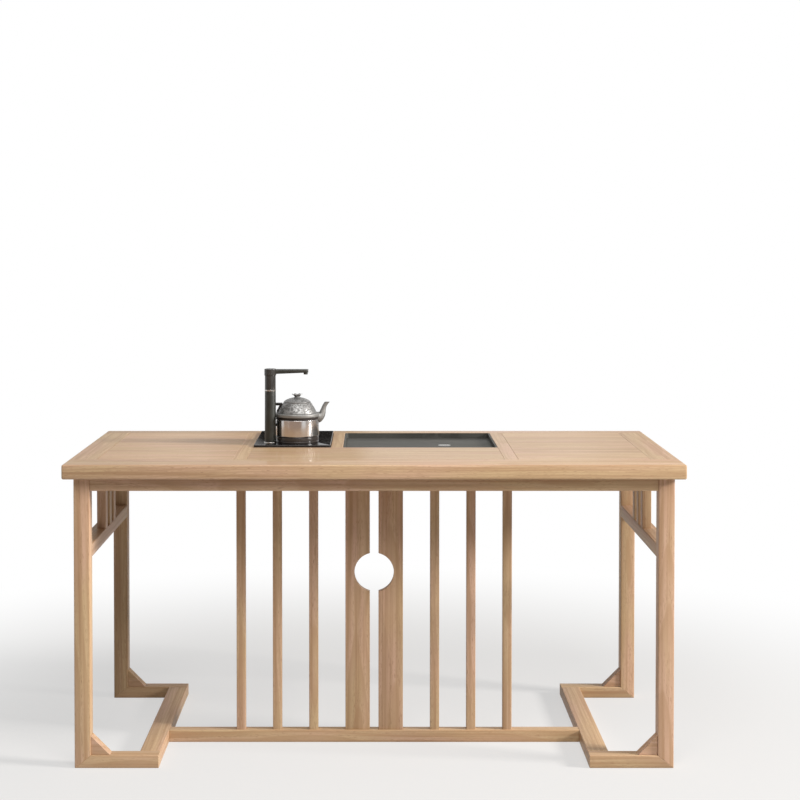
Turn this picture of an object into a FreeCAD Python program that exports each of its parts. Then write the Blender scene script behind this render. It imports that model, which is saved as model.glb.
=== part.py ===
import FreeCAD, Part
import math
import os

# A gongfu tea table in solid oak, with a let-in stone tray and a built-in tea stove.
# Millimetres. The origin is on the floor at the middle of the tabletop's footprint.
# +X runs along the table, -Y faces the guests, +Z is up.

# Tabletop
TOP_LENGTH = 1520.0
TOP_DEPTH = 700.0
TOP_THICK = 36.0
TABLE_HEIGHT = 750.0
TOP_ARRIS = 3.0
FRONT_RAIL_WIDTH = 101.0
REAR_RAIL_WIDTH = 50.0
END_RAIL_WIDTH = 71.0
CROSS_RAIL_WIDTH = 34.0
MIDDLE_RAIL_WIDTH = 32.0
TONGUE_LENGTH = 8.0
TONGUE_THICK = 10.0
RAIL_TENON_LENGTH = 15.0
RAIL_TENON_SHOULDER = 10.0

# Cut-outs for the stove and the tray, side by side behind the front panel
CUTOUT_DEPTH = 320.0
CUTOUT_CENTRE_X = 3.5
LEDGE_WIDTH = 12.0

# Base frame
OVERHANG = 25.0
LEG_SIZE = 39.0
LEG_ARRIS = 2.0
LEG_TENON_SIZE = 15.0
LEG_TENON_HEIGHT = 8.0
FOOT_HEIGHT = 31.0
FOOT_LENGTH = 206.0
RUNNER_WIDTH = 51.0
BLOCK_LEG = 48.0
BLOCK_INSET = 5.0
APRON_HEIGHT = 32.0
APRON_SETBACK = 4.0
FRAME_TENON_LENGTH = 11.0
FRAME_TENON_THICK = 10.0
FRAME_TENON_HEIGHT = 18.0

# Screen between the runners, in front of the stove's housing
SCREEN_HOUSING_GAP = 79.0
STRETCHER_DEPTH = 32.0
SLAT_WIDTH = 23.4
SLAT_THICK = 20.0
SLAT_ARRIS = 1.5
SLAT_COUNT = 3
SCREEN_GAP = 70.2
BOARD_WIDTH = 63.0
BOARD_GAP = 22.4
MOON_RADIUS = 50.8
MOON_HEIGHT = 439.0
STUB_LENGTH = 8.0
STUB_THICK = 8.0
STUB_SHOULDER = 4.0

# End panels between the front and the rear legs, behind the screen
END_RAIL_HEIGHT = 33.0
END_SLAT_LENGTH = 135.0
END_SLAT_SCREEN_GAP = 5.0
END_SLAT_WIDTH = 32.0
END_SLAT_THICK = 23.0
END_SLAT_PITCH = 65.0
END_SLAT_COUNT = 3

# Stone tray, a basin that stands on a ledge in its cut-out, almost level with the top
TRAY_WIDTH = 407.0
TRAY_RECESS = 0.5
TRAY_THICK = 29.5
TRAY_CLEARANCE = 1.0
TRAY_BORDER = 4.0
TRAY_DISH = 13.7
TRAY_CORNER = 6.0

# Drain of the tray
DRAIN_OFFSET_X = 70.0
DRAIN_FLANGE_RADIUS = 17.0
DRAIN_FLANGE_THICK = 1.5
DRAIN_HOLE_COUNT = 8
DRAIN_HOLE_RADIUS = 1.6
DRAIN_HOLE_RING = 6.5
DRAIN_TUBE_RADIUS = 11.0
DRAIN_TUBE_BORE = 9.4
DRAIN_TUBE_END = 18.0
DRAIN_SLEEVE_WALL = 1.5
DRAIN_NUT_RADIUS = 19.0
DRAIN_NUT_THICK = 7.0
DRAIN_SPIGOT_RADIUS = 8.0
DRAIN_SPIGOT_BORE = 6.0
DRAIN_SPIGOT_LENGTH = 24.0

# Tea stove: glass panel on a steel housing that hangs on a ledge of its cut-out
GLASS_WIDTH = 202.0
GLASS_THICK = 4.0
GLASS_PROUD = 6.0
GLASS_CORNER = 4.0
STOVE_CLEARANCE = 1.0
HOUSING_COLLAR = 12.0
HOUSING_HEIGHT = 48.0
HOUSING_WALL = 1.5
HOUSING_APRON_GAP = 10.0

# Water pump, control board and cable gland in the housing
PUMP_RADIUS = 20.0
PUMP_HEIGHT = 30.0
PUMP_NECK_RADIUS = 7.0
INLET_RADIUS = 4.5
INLET_BORE = 2.5
INLET_LENGTH = 20.0
INLET_COLLAR_RADIUS = 6.5
INLET_COLLAR_PROUD = 1.5
BOARD_LENGTH = 110.0
BOARD_DEPTH = 90.0
BOARD_THICK = 2.0
BOARD_STANDOFF = 8.0
BOARD_STANDOFF_RADIUS = 3.0
BOARD_EDGE = 8.0
TRANSFORMER_SIZE = 34.0
TRANSFORMER_HEIGHT = 26.0
BOARD_SETBACK = 54.0
GLAND_RADIUS = 8.0
GLAND_BORE = 3.2
GLAND_LENGTH = 14.0
GLAND_NUT_RADIUS = 11.0
GLAND_NUT_THICK = 5.0
GLAND_INSET = 30.0

# Pump column with its swivelling water arm
COLUMN_INSET_X = 41.0
COLUMN_INSET_Y = 52.0
COLUMN_FOOT_RADIUS = 15.0
COLUMN_TOP_RADIUS = 14.4
COLUMN_HEIGHT = 179.0
COLUMN_BORE = 5.0
COLUMN_TAIL_RADIUS = 8.0
RING_HEIGHT = 138.0
RING_THICK = 4.0
RING_PROUD = 0.5
RING_GROOVE = 1.5
FLANGE_RADIUS = 17.0
FLANGE_THICK = 3.0
TAIL_NUT_RADIUS = 13.0
TAIL_NUT_THICK = 5.0
SPIGOT_RADIUS = 9.0
SPIGOT_LENGTH = 9.0
SWIVEL_CLEARANCE = 0.05
HUB_RADIUS = 15.8
HUB_HEIGHT = 18.0
HUB_ARRIS = 1.5
ARM_DROP = 1.0
ARM_REACH = 101.0
ARM_WIDTH = 16.0
ARM_TIP_WIDTH = 13.0
ARM_ROOT_THICK = 13.0
ARM_TIP_THICK = 9.0
ARM_BORE = 2.0
OUTLET_RADIUS = 5.5
OUTLET_DROP = 5.0
OUTLET_INSET = 7.0

# Heater base, beside the column and behind it
KETTLE_OFFSET_X = 70.0
KETTLE_OFFSET_Y = 30.0
HEATER_RADIUS = 57.0
HEATER_HEIGHT = 15.0
HEATER_ARRIS = 2.0
CONNECTOR_RADIUS = 11.0
CONNECTOR_HEIGHT = 5.0

# Kettle: steel body with a groove and a brim, cast shoulder and spout, looped handle
SOCKET_RADIUS = 19.0
SOCKET_DEPTH = 7.0
KETTLE_RADIUS = 58.5
KETTLE_BODY_HEIGHT = 46.0
KETTLE_BEVEL = 2.0
KETTLE_WALL = 1.5
NECK_RADIUS = 56.0
NECK_HEIGHT = 6.0
BRIM_RADIUS = 60.0
BRIM_HEIGHT = 10.0
SHOULDER_FOOT_RADIUS = 51.5
SHOULDER_TOP_RADIUS = 36.0
SHOULDER_HEIGHT = 28.0
SHOULDER_BULGE = 1.5
SHOULDER_WALL = 2.5
SPOUT_LEVEL = 50.0
SPOUT_REACH = 21.5
SPOUT_RISE = 41.0
SPOUT_ROOT_RADIUS = 11.2
SPOUT_TIP_RADIUS = 5.2
SPOUT_WALL = 1.2
HANDLE_REACH = 86.0
HANDLE_WIDTH = 12.0
HANDLE_THICK = 7.0
HANDLE_TOP_RISE = 23.0
HANDLE_FOOT_LEVEL = 29.0
HANDLE_BEND = 10.0
HANDLE_PLATE_THICK = 5.0
HANDLE_PLATE_DROP = 20.0

# Lid with its knob
LID_EDGE = 2.0
LID_RISE = 11.0
LID_WALL = 2.0
LID_COLLAR_GAP = 0.8
LID_COLLAR_DEPTH = 5.0
KNOB_FOOT_RADIUS = 8.5
KNOB_NECK_RADIUS = 7.5
KNOB_TOP_RADIUS = 13.5
KNOB_HEIGHT = 9.0
KNOB_RIM = 2.5
KNOB_DISH = 1.5

# Screws that hold the aprons to the top
SCREW_HEAD_RADIUS = 4.2
SCREW_HEAD_THICK = 3.0
SCREW_SHANK_RADIUS = 2.2
SCREW_BITE = 22.0
SCREW_SINK = 10.0
SCREW_HOLE_GAP = 0.3
SCREWS_LONG_APRON = 4
SCREWS_SHORT_APRON = 2

# Clearance round every tenon and tongue, and the overrun of every cutting tool
JOINT_GAP = 0.2
OVERRUN = 2.0

# Places worked out from the sizes above
FRONT_Y = -TOP_DEPTH / 2
TOP_UNDER = TABLE_HEIGHT - TOP_THICK
LEG_OUT_X = TOP_LENGTH / 2 - OVERHANG
LEG_IN_X = LEG_OUT_X - LEG_SIZE
LEG_OUT_Y = TOP_DEPTH / 2 - OVERHANG
LEG_IN_Y = LEG_OUT_Y - LEG_SIZE
FOOT_END_X = LEG_OUT_X - FOOT_LENGTH
APRON_UNDER = TOP_UNDER - APRON_HEIGHT
END_RAIL_TOP = APRON_UNDER - END_SLAT_LENGTH
FRONT_JOINT_Y = FRONT_Y + FRONT_RAIL_WIDTH
REAR_JOINT_Y = -FRONT_Y - REAR_RAIL_WIDTH
END_JOINT_X = TOP_LENGTH / 2 - END_RAIL_WIDTH
CUT_FRONT_Y = REAR_JOINT_Y - CUTOUT_DEPTH
STOVE_WIDTH = GLASS_WIDTH + 2 * STOVE_CLEARANCE
STOVE_LEFT_X = CUTOUT_CENTRE_X - (STOVE_WIDTH + MIDDLE_RAIL_WIDTH + TRAY_WIDTH) / 2
STOVE_RIGHT_X = STOVE_LEFT_X + STOVE_WIDTH
TRAY_LEFT_X = STOVE_RIGHT_X + MIDDLE_RAIL_WIDTH
TRAY_RIGHT_X = TRAY_LEFT_X + TRAY_WIDTH
TRAY_TOP = TABLE_HEIGHT - TRAY_RECESS
TRAY_LEDGE = TRAY_TOP - TRAY_THICK
GLASS_TOP = TABLE_HEIGHT + GLASS_PROUD
GLASS_UNDER = GLASS_TOP - GLASS_THICK
STOVE_LEDGE = GLASS_UNDER - HOUSING_COLLAR
HOUSING_FLOOR = STOVE_LEDGE - HOUSING_HEIGHT
HOUSING_FRONT_Y = CUT_FRONT_Y + STOVE_CLEARANCE + LEDGE_WIDTH
INLET_TOP = HOUSING_FLOOR - INLET_COLLAR_PROUD
SCREEN_REAR_Y = HOUSING_FRONT_Y - SCREEN_HOUSING_GAP
SCREEN_Y = SCREEN_REAR_Y - STRETCHER_DEPTH
SCREEN_MID_Y = SCREEN_Y + STRETCHER_DEPTH / 2
COLUMN_X = STOVE_LEFT_X + STOVE_CLEARANCE + COLUMN_INSET_X
COLUMN_Y = CUT_FRONT_Y + COLUMN_INSET_Y
COLUMN_TOP = GLASS_TOP + COLUMN_HEIGHT
COLUMN_TAIL_END = GLASS_UNDER - TAIL_NUT_THICK
KETTLE_X = COLUMN_X + KETTLE_OFFSET_X
KETTLE_Y = COLUMN_Y + KETTLE_OFFSET_Y
HEATER_TOP = GLASS_TOP + HEATER_HEIGHT
BODY_TOP = HEATER_TOP + KETTLE_BODY_HEIGHT
BRIM_UNDER = BODY_TOP + NECK_HEIGHT
BRIM_TOP = BRIM_UNDER + BRIM_HEIGHT
MOUTH_TOP = BRIM_TOP + SHOULDER_HEIGHT
MOUTH_RADIUS = SHOULDER_TOP_RADIUS - SHOULDER_WALL
LID_TOP = MOUTH_TOP + LID_EDGE + LID_RISE

SIDES = (("left", -1), ("right", 1))
ENDS = (("front", -1), ("rear", 1))
DOWN = FreeCAD.Vector(0, 0, -1)
UP = FreeCAD.Vector(0, 0, 1)


def vec(x, y, z):
    return FreeCAD.Vector(x, y, z)


def block(span):
    """A box from its six limits: x low, x high, y low, y high, z low, z high."""
    x0, x1, y0, y1, z0, z1 = span
    return Part.makeBox(x1 - x0, y1 - y0, z1 - z0, vec(x0, y0, z0))


def widened(span, gap):
    """The same limits moved out by a gap on every side."""
    return tuple(value + (gap if i % 2 else -gap) for i, value in enumerate(span))


def mirrored(span, side):
    """The limits on the other side of the table's middle where side is -1."""
    x0, x1, y0, y1, z0, z1 = span
    low, high = sorted((x0 * side, x1 * side))
    return (low, high, y0, y1, z0, z1)


def turned(span, end):
    """The limits at the other end of the depth where end is -1."""
    x0, x1, y0, y1, z0, z1 = span
    low, high = sorted((y0 * end, y1 * end))
    return (x0, x1, low, high, z0, z1)


def bar(span, axis, radius):
    """A straight bar with its four long edges eased."""
    shape = block(span)
    direction = [vec(1, 0, 0), vec(0, 1, 0), vec(0, 0, 1)]["xyz".index(axis)]
    long_edges = []
    for edge in shape.Edges:
        run = edge.Vertexes[1].Point - edge.Vertexes[0].Point
        if run.cross(direction).Length < run.Length / 2:
            long_edges.append(edge)
    return shape.makeFillet(radius, long_edges)


def stub(span, face, length, cheeks):
    """Limits of a tenon that stands out of one face; cheeks are its margins on the others."""
    axis = "xyz".index(face[0])
    out = list(span)
    for other in range(3):
        if other != axis:
            out[2 * other] += cheeks[other]
            out[2 * other + 1] -= cheeks[other]
    if face[1] == "+":
        out[2 * axis] = span[2 * axis + 1]
        out[2 * axis + 1] = span[2 * axis + 1] + length
    else:
        out[2 * axis + 1] = span[2 * axis]
        out[2 * axis] = span[2 * axis] - length
    return tuple(out)


def touches(a, b):
    """True where two sets of limits share some space."""
    return all(a[2 * i] < b[2 * i + 1] and b[2 * i] < a[2 * i + 1] for i in range(3))


def joined(shape, spans):
    """Fuses tenons or tongues onto a member."""
    parts = [block(span) for span in spans]
    return shape.fuse(parts).removeSplitter() if parts else shape


def mortised(shape, spans):
    """Cuts a mortise or groove for every tenon, with the joint's clearance."""
    tools = [block(widened(span, JOINT_GAP)) for span in spans]
    return shape.cut(tools) if tools else shape


def disc(x, y, z, radius, height):
    return Part.makeCylinder(radius, height, vec(x, y, z), UP)


def turned_solid(points, x, y):
    """Revolves an outline of (radius, height) points round a vertical axis."""
    corners = [vec(x + r, y, z) for r, z in points]
    outline = Part.makePolygon(corners + corners[:1])
    return Part.Face(outline).revolve(vec(x, y, 0), UP, 360)


def export(name, shape):
    shape.exportStep(os.path.join("parts", name + ".step"))


# Tenons of the base frame. Each list says what stands out of one member, so that the
# member that receives it can be cut from the same limits.

def apron_span(where):
    """Front and rear aprons run along X, left and right ones along Y."""
    if where in ("front", "rear"):
        span = (-LEG_IN_X, LEG_IN_X, LEG_IN_Y, LEG_OUT_Y - APRON_SETBACK, APRON_UNDER, TOP_UNDER)
        return turned(span, dict(ENDS)[where])
    span = (LEG_IN_X, LEG_OUT_X - APRON_SETBACK, -LEG_IN_Y, LEG_IN_Y, APRON_UNDER, TOP_UNDER)
    return mirrored(span, dict(SIDES)[where])


def end_rail_span(side):
    span = (LEG_IN_X, LEG_OUT_X, -LEG_IN_Y, LEG_IN_Y, END_RAIL_TOP - END_RAIL_HEIGHT, END_RAIL_TOP)
    return mirrored(span, side)


def frame_tenons(span, faces):
    """Tenons of named thickness and height in the middle of a member's ends."""
    middle = [(span[2 * i] + span[2 * i + 1]) / 2 for i in range(3)]
    out = []
    for face in faces:
        across = 1 if face[0] == "x" else 0
        half = [(span[2 * i + 1] - span[2 * i]) / 2 for i in range(3)]
        cheeks = [0, 0, half[2] - FRAME_TENON_HEIGHT / 2]
        cheeks[across] = half[across] - FRAME_TENON_THICK / 2
        out.append(stub(span, face, FRAME_TENON_LENGTH, cheeks))
    return out


def leg_span(side, end):
    span = (LEG_IN_X, LEG_OUT_X, LEG_IN_Y, LEG_OUT_Y, 0, TOP_UNDER)
    return turned(mirrored(span, side), end)


def leg_tenon(side, end):
    margin = (LEG_SIZE - LEG_TENON_SIZE) / 2
    return stub(leg_span(side, end), "z+", LEG_TENON_HEIGHT, (margin, margin, 0))


def mitre_wedge(side, end, for_leg):
    """The space that the mitre takes from the leg's foot or from the foot rail's end."""
    inner = vec(LEG_IN_X, 0, FOOT_HEIGHT)
    outer = vec(LEG_OUT_X, 0, 0)
    slope = outer - inner
    slope.normalize()
    inner = inner - slope * OVERRUN
    outer = outer + slope * OVERRUN
    level = -FOOT_HEIGHT if for_leg else FOOT_HEIGHT + OVERRUN
    corner_a = vec(outer.x, 0, level)
    corner_b = vec(inner.x, 0, level)
    points = [inner, outer, corner_a, corner_b] if for_leg else [inner, outer, corner_a]
    points = [vec(p.x * side, end * LEG_OUT_Y + OVERRUN * end, p.z) for p in points]
    face = Part.Face(Part.makePolygon(points + points[:1]))
    return face.extrude(vec(0, -end * (LEG_SIZE + 2 * OVERRUN), 0))


def make_leg(side, end):
    shape = bar(leg_span(side, end), "z", LEG_ARRIS)
    shape = shape.cut(mitre_wedge(side, end, True))
    shape = joined(shape, [leg_tenon(side, end)])
    return mortised(shape, [t for t in frame_tenon_list() if touches(t, leg_span(side, end))])


def foot_span(side, end):
    span = (FOOT_END_X, LEG_OUT_X, LEG_IN_Y, LEG_OUT_Y, 0, FOOT_HEIGHT)
    return turned(mirrored(span, side), end)


def runner_span(side):
    span = (FOOT_END_X, FOOT_END_X + RUNNER_WIDTH, -LEG_IN_Y, LEG_IN_Y, 0, FOOT_HEIGHT)
    return mirrored(span, side)


def stretcher_span():
    return (-FOOT_END_X, FOOT_END_X, SCREEN_Y, SCREEN_REAR_Y, 0, FOOT_HEIGHT)


def beam_span():
    """The screen's top rail, hidden under the tabletop between the side aprons."""
    return (-LEG_IN_X, LEG_IN_X, SCREEN_Y, SCREEN_REAR_Y, APRON_UNDER, TOP_UNDER)


def frame_tenon_list():
    """Every tenon of the aprons, end rails, runners, stretcher and screen rail."""
    tenons = []
    for where in ("front", "rear"):
        tenons += frame_tenons(apron_span(where), ("x-", "x+"))
    for name, side in SIDES:
        tenons += frame_tenons(apron_span(name), ("y-", "y+"))
        tenons += frame_tenons(end_rail_span(side), ("y-", "y+"))
        tenons += frame_tenons(runner_span(side), ("y-", "y+"))
    tenons += frame_tenons(stretcher_span(), ("x-", "x+"))
    tenons += frame_tenons(beam_span(), ("x-", "x+"))
    return tenons


def make_foot(side, end):
    span = foot_span(side, end)
    shape = bar(span, "x", LEG_ARRIS).cut(mitre_wedge(side, end, False))
    return mortised(shape, [t for t in frame_tenon_list() if touches(t, span)])


def make_runner(side):
    span = runner_span(side)
    own = frame_tenons(span, ("y-", "y+"))
    others = [t for t in frame_tenons(stretcher_span(), ("x-", "x+")) if touches(t, span)]
    return mortised(joined(bar(span, "y", LEG_ARRIS), own), others)


def make_corner_block(side, end):
    """A triangular block in the corner of leg and foot, set back from both faces."""
    corners = [(LEG_IN_X, FOOT_HEIGHT), (LEG_IN_X - BLOCK_LEG, FOOT_HEIGHT),
               (LEG_IN_X, FOOT_HEIGHT + BLOCK_LEG)]
    start = end * (LEG_OUT_Y - BLOCK_INSET)
    points = [vec(x * side, start, z) for x, z in corners]
    face = Part.Face(Part.makePolygon(points + points[:1]))
    return face.extrude(vec(0, -end * (LEG_SIZE - 2 * BLOCK_INSET), 0))


# Screen

def screen_spans():
    """Limits of the screen's uprights by name, from the middle outwards."""
    y0 = SCREEN_MID_Y - SLAT_THICK / 2
    y1 = SCREEN_MID_Y + SLAT_THICK / 2
    spans = {}
    for name, side in SIDES:
        x = BOARD_GAP / 2
        member = (x, x + BOARD_WIDTH, y0, y1, FOOT_HEIGHT, APRON_UNDER)
        spans["screen_board_" + name] = mirrored(member, side)
        x += BOARD_WIDTH
        for i in range(SLAT_COUNT):
            x += SCREEN_GAP
            member = (x, x + SLAT_WIDTH, y0, y1, FOOT_HEIGHT, APRON_UNDER)
            spans["screen_slat_{}_{}".format(name, i + 1)] = mirrored(member, side)
            x += SLAT_WIDTH
    return spans


def upright_stubs(span, across):
    """Stub tenons at the two ends of an upright; across is the axis of its thickness."""
    thick = span[2 * across + 1] - span[2 * across]
    cheeks = [STUB_SHOULDER, STUB_SHOULDER, 0]
    cheeks[across] = (thick - STUB_THICK) / 2
    return [stub(span, face, STUB_LENGTH, cheeks) for face in ("z-", "z+")]


def screen_stubs():
    return [s for span in screen_spans().values() for s in upright_stubs(span, 1)]


def make_screen_upright(name, span):
    shape = joined(bar(span, "z", SLAT_ARRIS), upright_stubs(span, 1))
    if "board" in name:
        moon = Part.makeCylinder(MOON_RADIUS, SLAT_THICK + 2 * OVERRUN,
                                 vec(0, span[2] - OVERRUN, MOON_HEIGHT), vec(0, 1, 0))
        shape = shape.cut(moon)
    return shape


def make_stretcher():
    span = stretcher_span()
    shape = joined(bar(span, "x", LEG_ARRIS), frame_tenons(span, ("x-", "x+")))
    return mortised(shape, [s for s in screen_stubs() if touches(s, span)])


def make_beam():
    span = beam_span()
    shape = joined(block(span), frame_tenons(span, ("x-", "x+")))
    return mortised(shape, [s for s in screen_stubs() if touches(s, span)])


# End panels

def end_slat_spans(side):
    """The slats of one end panel, flush with the legs' inner faces and clear of the screen's rail."""
    spans = []
    first = SCREEN_REAR_Y + END_SLAT_SCREEN_GAP + END_SLAT_WIDTH / 2
    for i in range(END_SLAT_COUNT):
        middle = first + END_SLAT_PITCH * i
        member = (LEG_IN_X, LEG_IN_X + END_SLAT_THICK,
                  middle - END_SLAT_WIDTH / 2, middle + END_SLAT_WIDTH / 2,
                  END_RAIL_TOP, APRON_UNDER)
        spans.append(mirrored(member, side))
    return spans


def make_end_slat(span):
    return joined(bar(span, "z", SLAT_ARRIS), upright_stubs(span, 0))


def end_stubs(side):
    return [s for span in end_slat_spans(side) for s in upright_stubs(span, 0)]


def make_end_rail(side):
    span = end_rail_span(side)
    shape = joined(bar(span, "y", LEG_ARRIS), frame_tenons(span, ("y-", "y+")))
    return mortised(shape, [s for s in end_stubs(side) if touches(s, span)])


# Aprons and their screws

def screw_places(where):
    """Places of the upright screws through one apron."""
    span = apron_span(where)
    if where in ("front", "rear"):
        step = (span[1] - span[0]) / SCREWS_LONG_APRON
        y = (span[2] + span[3]) / 2
        return [(span[0] + step * (i + 1 / 2), y) for i in range(SCREWS_LONG_APRON)]
    step = (span[3] - span[2]) / SCREWS_SHORT_APRON
    x = (span[0] + span[1]) / 2
    return [(x, span[2] + step * (i + 1 / 2)) for i in range(SCREWS_SHORT_APRON)]


def all_screw_places():
    return [p for where in ("front", "rear", "left", "right") for p in screw_places(where)]


def make_screws():
    """A group of separate screws, heads down, that bite into the tabletop."""
    seat = APRON_UNDER + SCREW_SINK
    screws = []
    for x, y in all_screw_places():
        head = disc(x, y, seat - SCREW_HEAD_THICK, SCREW_HEAD_RADIUS, SCREW_HEAD_THICK)
        shank = disc(x, y, seat, SCREW_SHANK_RADIUS, TOP_UNDER - seat + SCREW_BITE)
        screws.append(head.fuse(shank).removeSplitter())
    return Part.Compound(screws)


def screw_holes():
    """Counterbores and clearance holes in the aprons, and pilot holes in the top."""
    seat = APRON_UNDER + SCREW_SINK
    tools = []
    for x, y in all_screw_places():
        tools.append(disc(x, y, APRON_UNDER - OVERRUN, SCREW_HEAD_RADIUS + SCREW_HOLE_GAP,
                          SCREW_SINK + OVERRUN))
        tools.append(disc(x, y, seat, SCREW_SHANK_RADIUS + SCREW_HOLE_GAP,
                          TOP_UNDER - seat + SCREW_BITE + SCREW_HOLE_GAP))
    return tools


def make_apron(where):
    span = apron_span(where)
    if where in ("front", "rear"):
        shape = joined(bar(span, "x", SLAT_ARRIS), frame_tenons(span, ("x-", "x+")))
        mates = []
    else:
        side = dict(SIDES)[where]
        shape = joined(bar(span, "y", SLAT_ARRIS), frame_tenons(span, ("y-", "y+")))
        mates = end_stubs(side) + frame_tenons(beam_span(), ("x-", "x+"))
    shape = mortised(shape, [s for s in mates if touches(s, span)])
    return shape.cut(screw_holes())


# Tabletop: an outer frame with cross rails and flush panels, tongued together

def top_spans():
    """Limits of the tabletop's members by name."""
    z0, z1 = TOP_UNDER, TABLE_HEIGHT
    half = TOP_LENGTH / 2
    left = STOVE_LEFT_X - CROSS_RAIL_WIDTH
    right = TRAY_RIGHT_X + CROSS_RAIL_WIDTH
    spans = {
        "top_front_rail": (-half, half, FRONT_Y, FRONT_JOINT_Y, z0, z1),
        "top_rear_rail": (-half, half, REAR_JOINT_Y, -FRONT_Y, z0, z1),
    }
    between = {
        "top_end_rail_left": (-half, -END_JOINT_X),
        "top_panel_left": (-END_JOINT_X, left),
        "top_cross_rail_left": (left, STOVE_LEFT_X),
        "top_cross_rail_right": (TRAY_RIGHT_X, right),
        "top_panel_right": (right, END_JOINT_X),
        "top_end_rail_right": (END_JOINT_X, half),
    }
    for name, (x0, x1) in between.items():
        spans[name] = (x0, x1, FRONT_JOINT_Y, REAR_JOINT_Y, z0, z1)
    spans["top_panel_front"] = (STOVE_LEFT_X, TRAY_RIGHT_X, FRONT_JOINT_Y, CUT_FRONT_Y, z0, z1)
    spans["top_cross_rail_middle"] = (STOVE_RIGHT_X, TRAY_LEFT_X, CUT_FRONT_Y, REAR_JOINT_Y, z0, z1)
    return spans


def tongue_span(name, span):
    """A panel's tongue or a rail's tenons; the front and rear rails only receive them."""
    x0, x1, y0, y1, z0, z1 = span
    level = (z0 + z1) / 2
    low, high = level - TONGUE_THICK / 2, level + TONGUE_THICK / 2
    rear_tongue = 0 if name == "top_panel_front" else TONGUE_LENGTH
    if "panel" in name:
        return (x0 - TONGUE_LENGTH, x1 + TONGUE_LENGTH, y0 - TONGUE_LENGTH, y1 + rear_tongue,
                low, high)
    if "cross" in name or "end" in name:
        return (x0 + RAIL_TENON_SHOULDER, x1 - RAIL_TENON_SHOULDER,
                y0 - RAIL_TENON_LENGTH, y1 + RAIL_TENON_LENGTH, low, high)
    return None


def ledges(x0, x1, level, names):
    """The four sides of a cut-out's ledge: each is cut on the member that bounds it."""
    left, right, front, rear = names
    inner = (x0 + LEDGE_WIDTH, x1 - LEDGE_WIDTH)
    return [
        (left, (x0, inner[0], CUT_FRONT_Y, REAR_JOINT_Y, TOP_UNDER, level)),
        (right, (inner[1], x1, CUT_FRONT_Y, REAR_JOINT_Y, TOP_UNDER, level)),
        (front, (*inner, CUT_FRONT_Y, CUT_FRONT_Y + LEDGE_WIDTH, TOP_UNDER, level)),
        (rear, (*inner, REAR_JOINT_Y - LEDGE_WIDTH, REAR_JOINT_Y, TOP_UNDER, level)),
    ]


def ledge_spans(name):
    """The ledges under the stove and the tray that belong to one member of the top."""
    ends = ("top_panel_front", "top_rear_rail")
    stove = ledges(STOVE_LEFT_X, STOVE_RIGHT_X, STOVE_LEDGE,
                   ("top_cross_rail_left", "top_cross_rail_middle") + ends)
    tray = ledges(TRAY_LEFT_X, TRAY_RIGHT_X, TRAY_LEDGE,
                  ("top_cross_rail_middle", "top_cross_rail_right") + ends)
    return [span for owner, span in stove + tray if owner == name]


def eased_outside(shape):
    """Rounds the edges that lie on the outline of the whole tabletop."""
    near = JOINT_GAP

    def on_rim(edge):
        middle = edge.CenterOfMass
        on_end = abs(abs(middle.x) - TOP_LENGTH / 2) < near
        on_front = abs(abs(middle.y) - TOP_DEPTH / 2) < near
        on_face = min(abs(middle.z - TOP_UNDER), abs(middle.z - TABLE_HEIGHT)) < near
        return (on_end and on_front) or ((on_end or on_front) and on_face)

    rim = [edge for edge in shape.Edges if on_rim(edge)]
    return shape.makeFillet(TOP_ARRIS, rim) if rim else shape


def make_top_member(name, spans):
    span = spans[name]
    own = [t for t in [tongue_span(name, span)] if t]
    shape = joined(eased_outside(block(span)), own + ledge_spans(name))
    others = [tongue_span(n, s) for n, s in spans.items() if n != name]
    shape = mortised(shape, [t for t in others if t and touches(t, span)])
    legs = [leg_tenon(side, end) for _, side in SIDES for _, end in ENDS]
    shape = mortised(shape, [t for t in legs if touches(t, span)])
    return shape.cut(screw_holes())


# Stone tray and its drain

def drain_centre():
    return ((TRAY_LEFT_X + TRAY_RIGHT_X) / 2 + DRAIN_OFFSET_X, (CUT_FRONT_Y + REAR_JOINT_Y) / 2)


def make_stone_tray():
    """A basin cut from one block, with a thin rim and a stepped hole for the drain."""
    span = (TRAY_LEFT_X + TRAY_CLEARANCE, TRAY_RIGHT_X - TRAY_CLEARANCE,
            CUT_FRONT_Y + TRAY_CLEARANCE, REAR_JOINT_Y - TRAY_CLEARANCE, TRAY_LEDGE, TRAY_TOP)
    floor = TRAY_TOP - TRAY_DISH
    x0, x1, y0, y1 = widened(span, -TRAY_BORDER)[:4]
    dish = bar((x0, x1, y0, y1, floor, TRAY_TOP + OVERRUN), "z", TRAY_CORNER)
    x, y = drain_centre()
    seat = disc(x, y, floor - DRAIN_FLANGE_THICK, DRAIN_FLANGE_RADIUS + JOINT_GAP,
                DRAIN_FLANGE_THICK + OVERRUN)
    hole = disc(x, y, TRAY_LEDGE - OVERRUN, DRAIN_TUBE_RADIUS + JOINT_GAP, TRAY_THICK + OVERRUN)
    return block(span).cut([dish, seat, hole])


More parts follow.
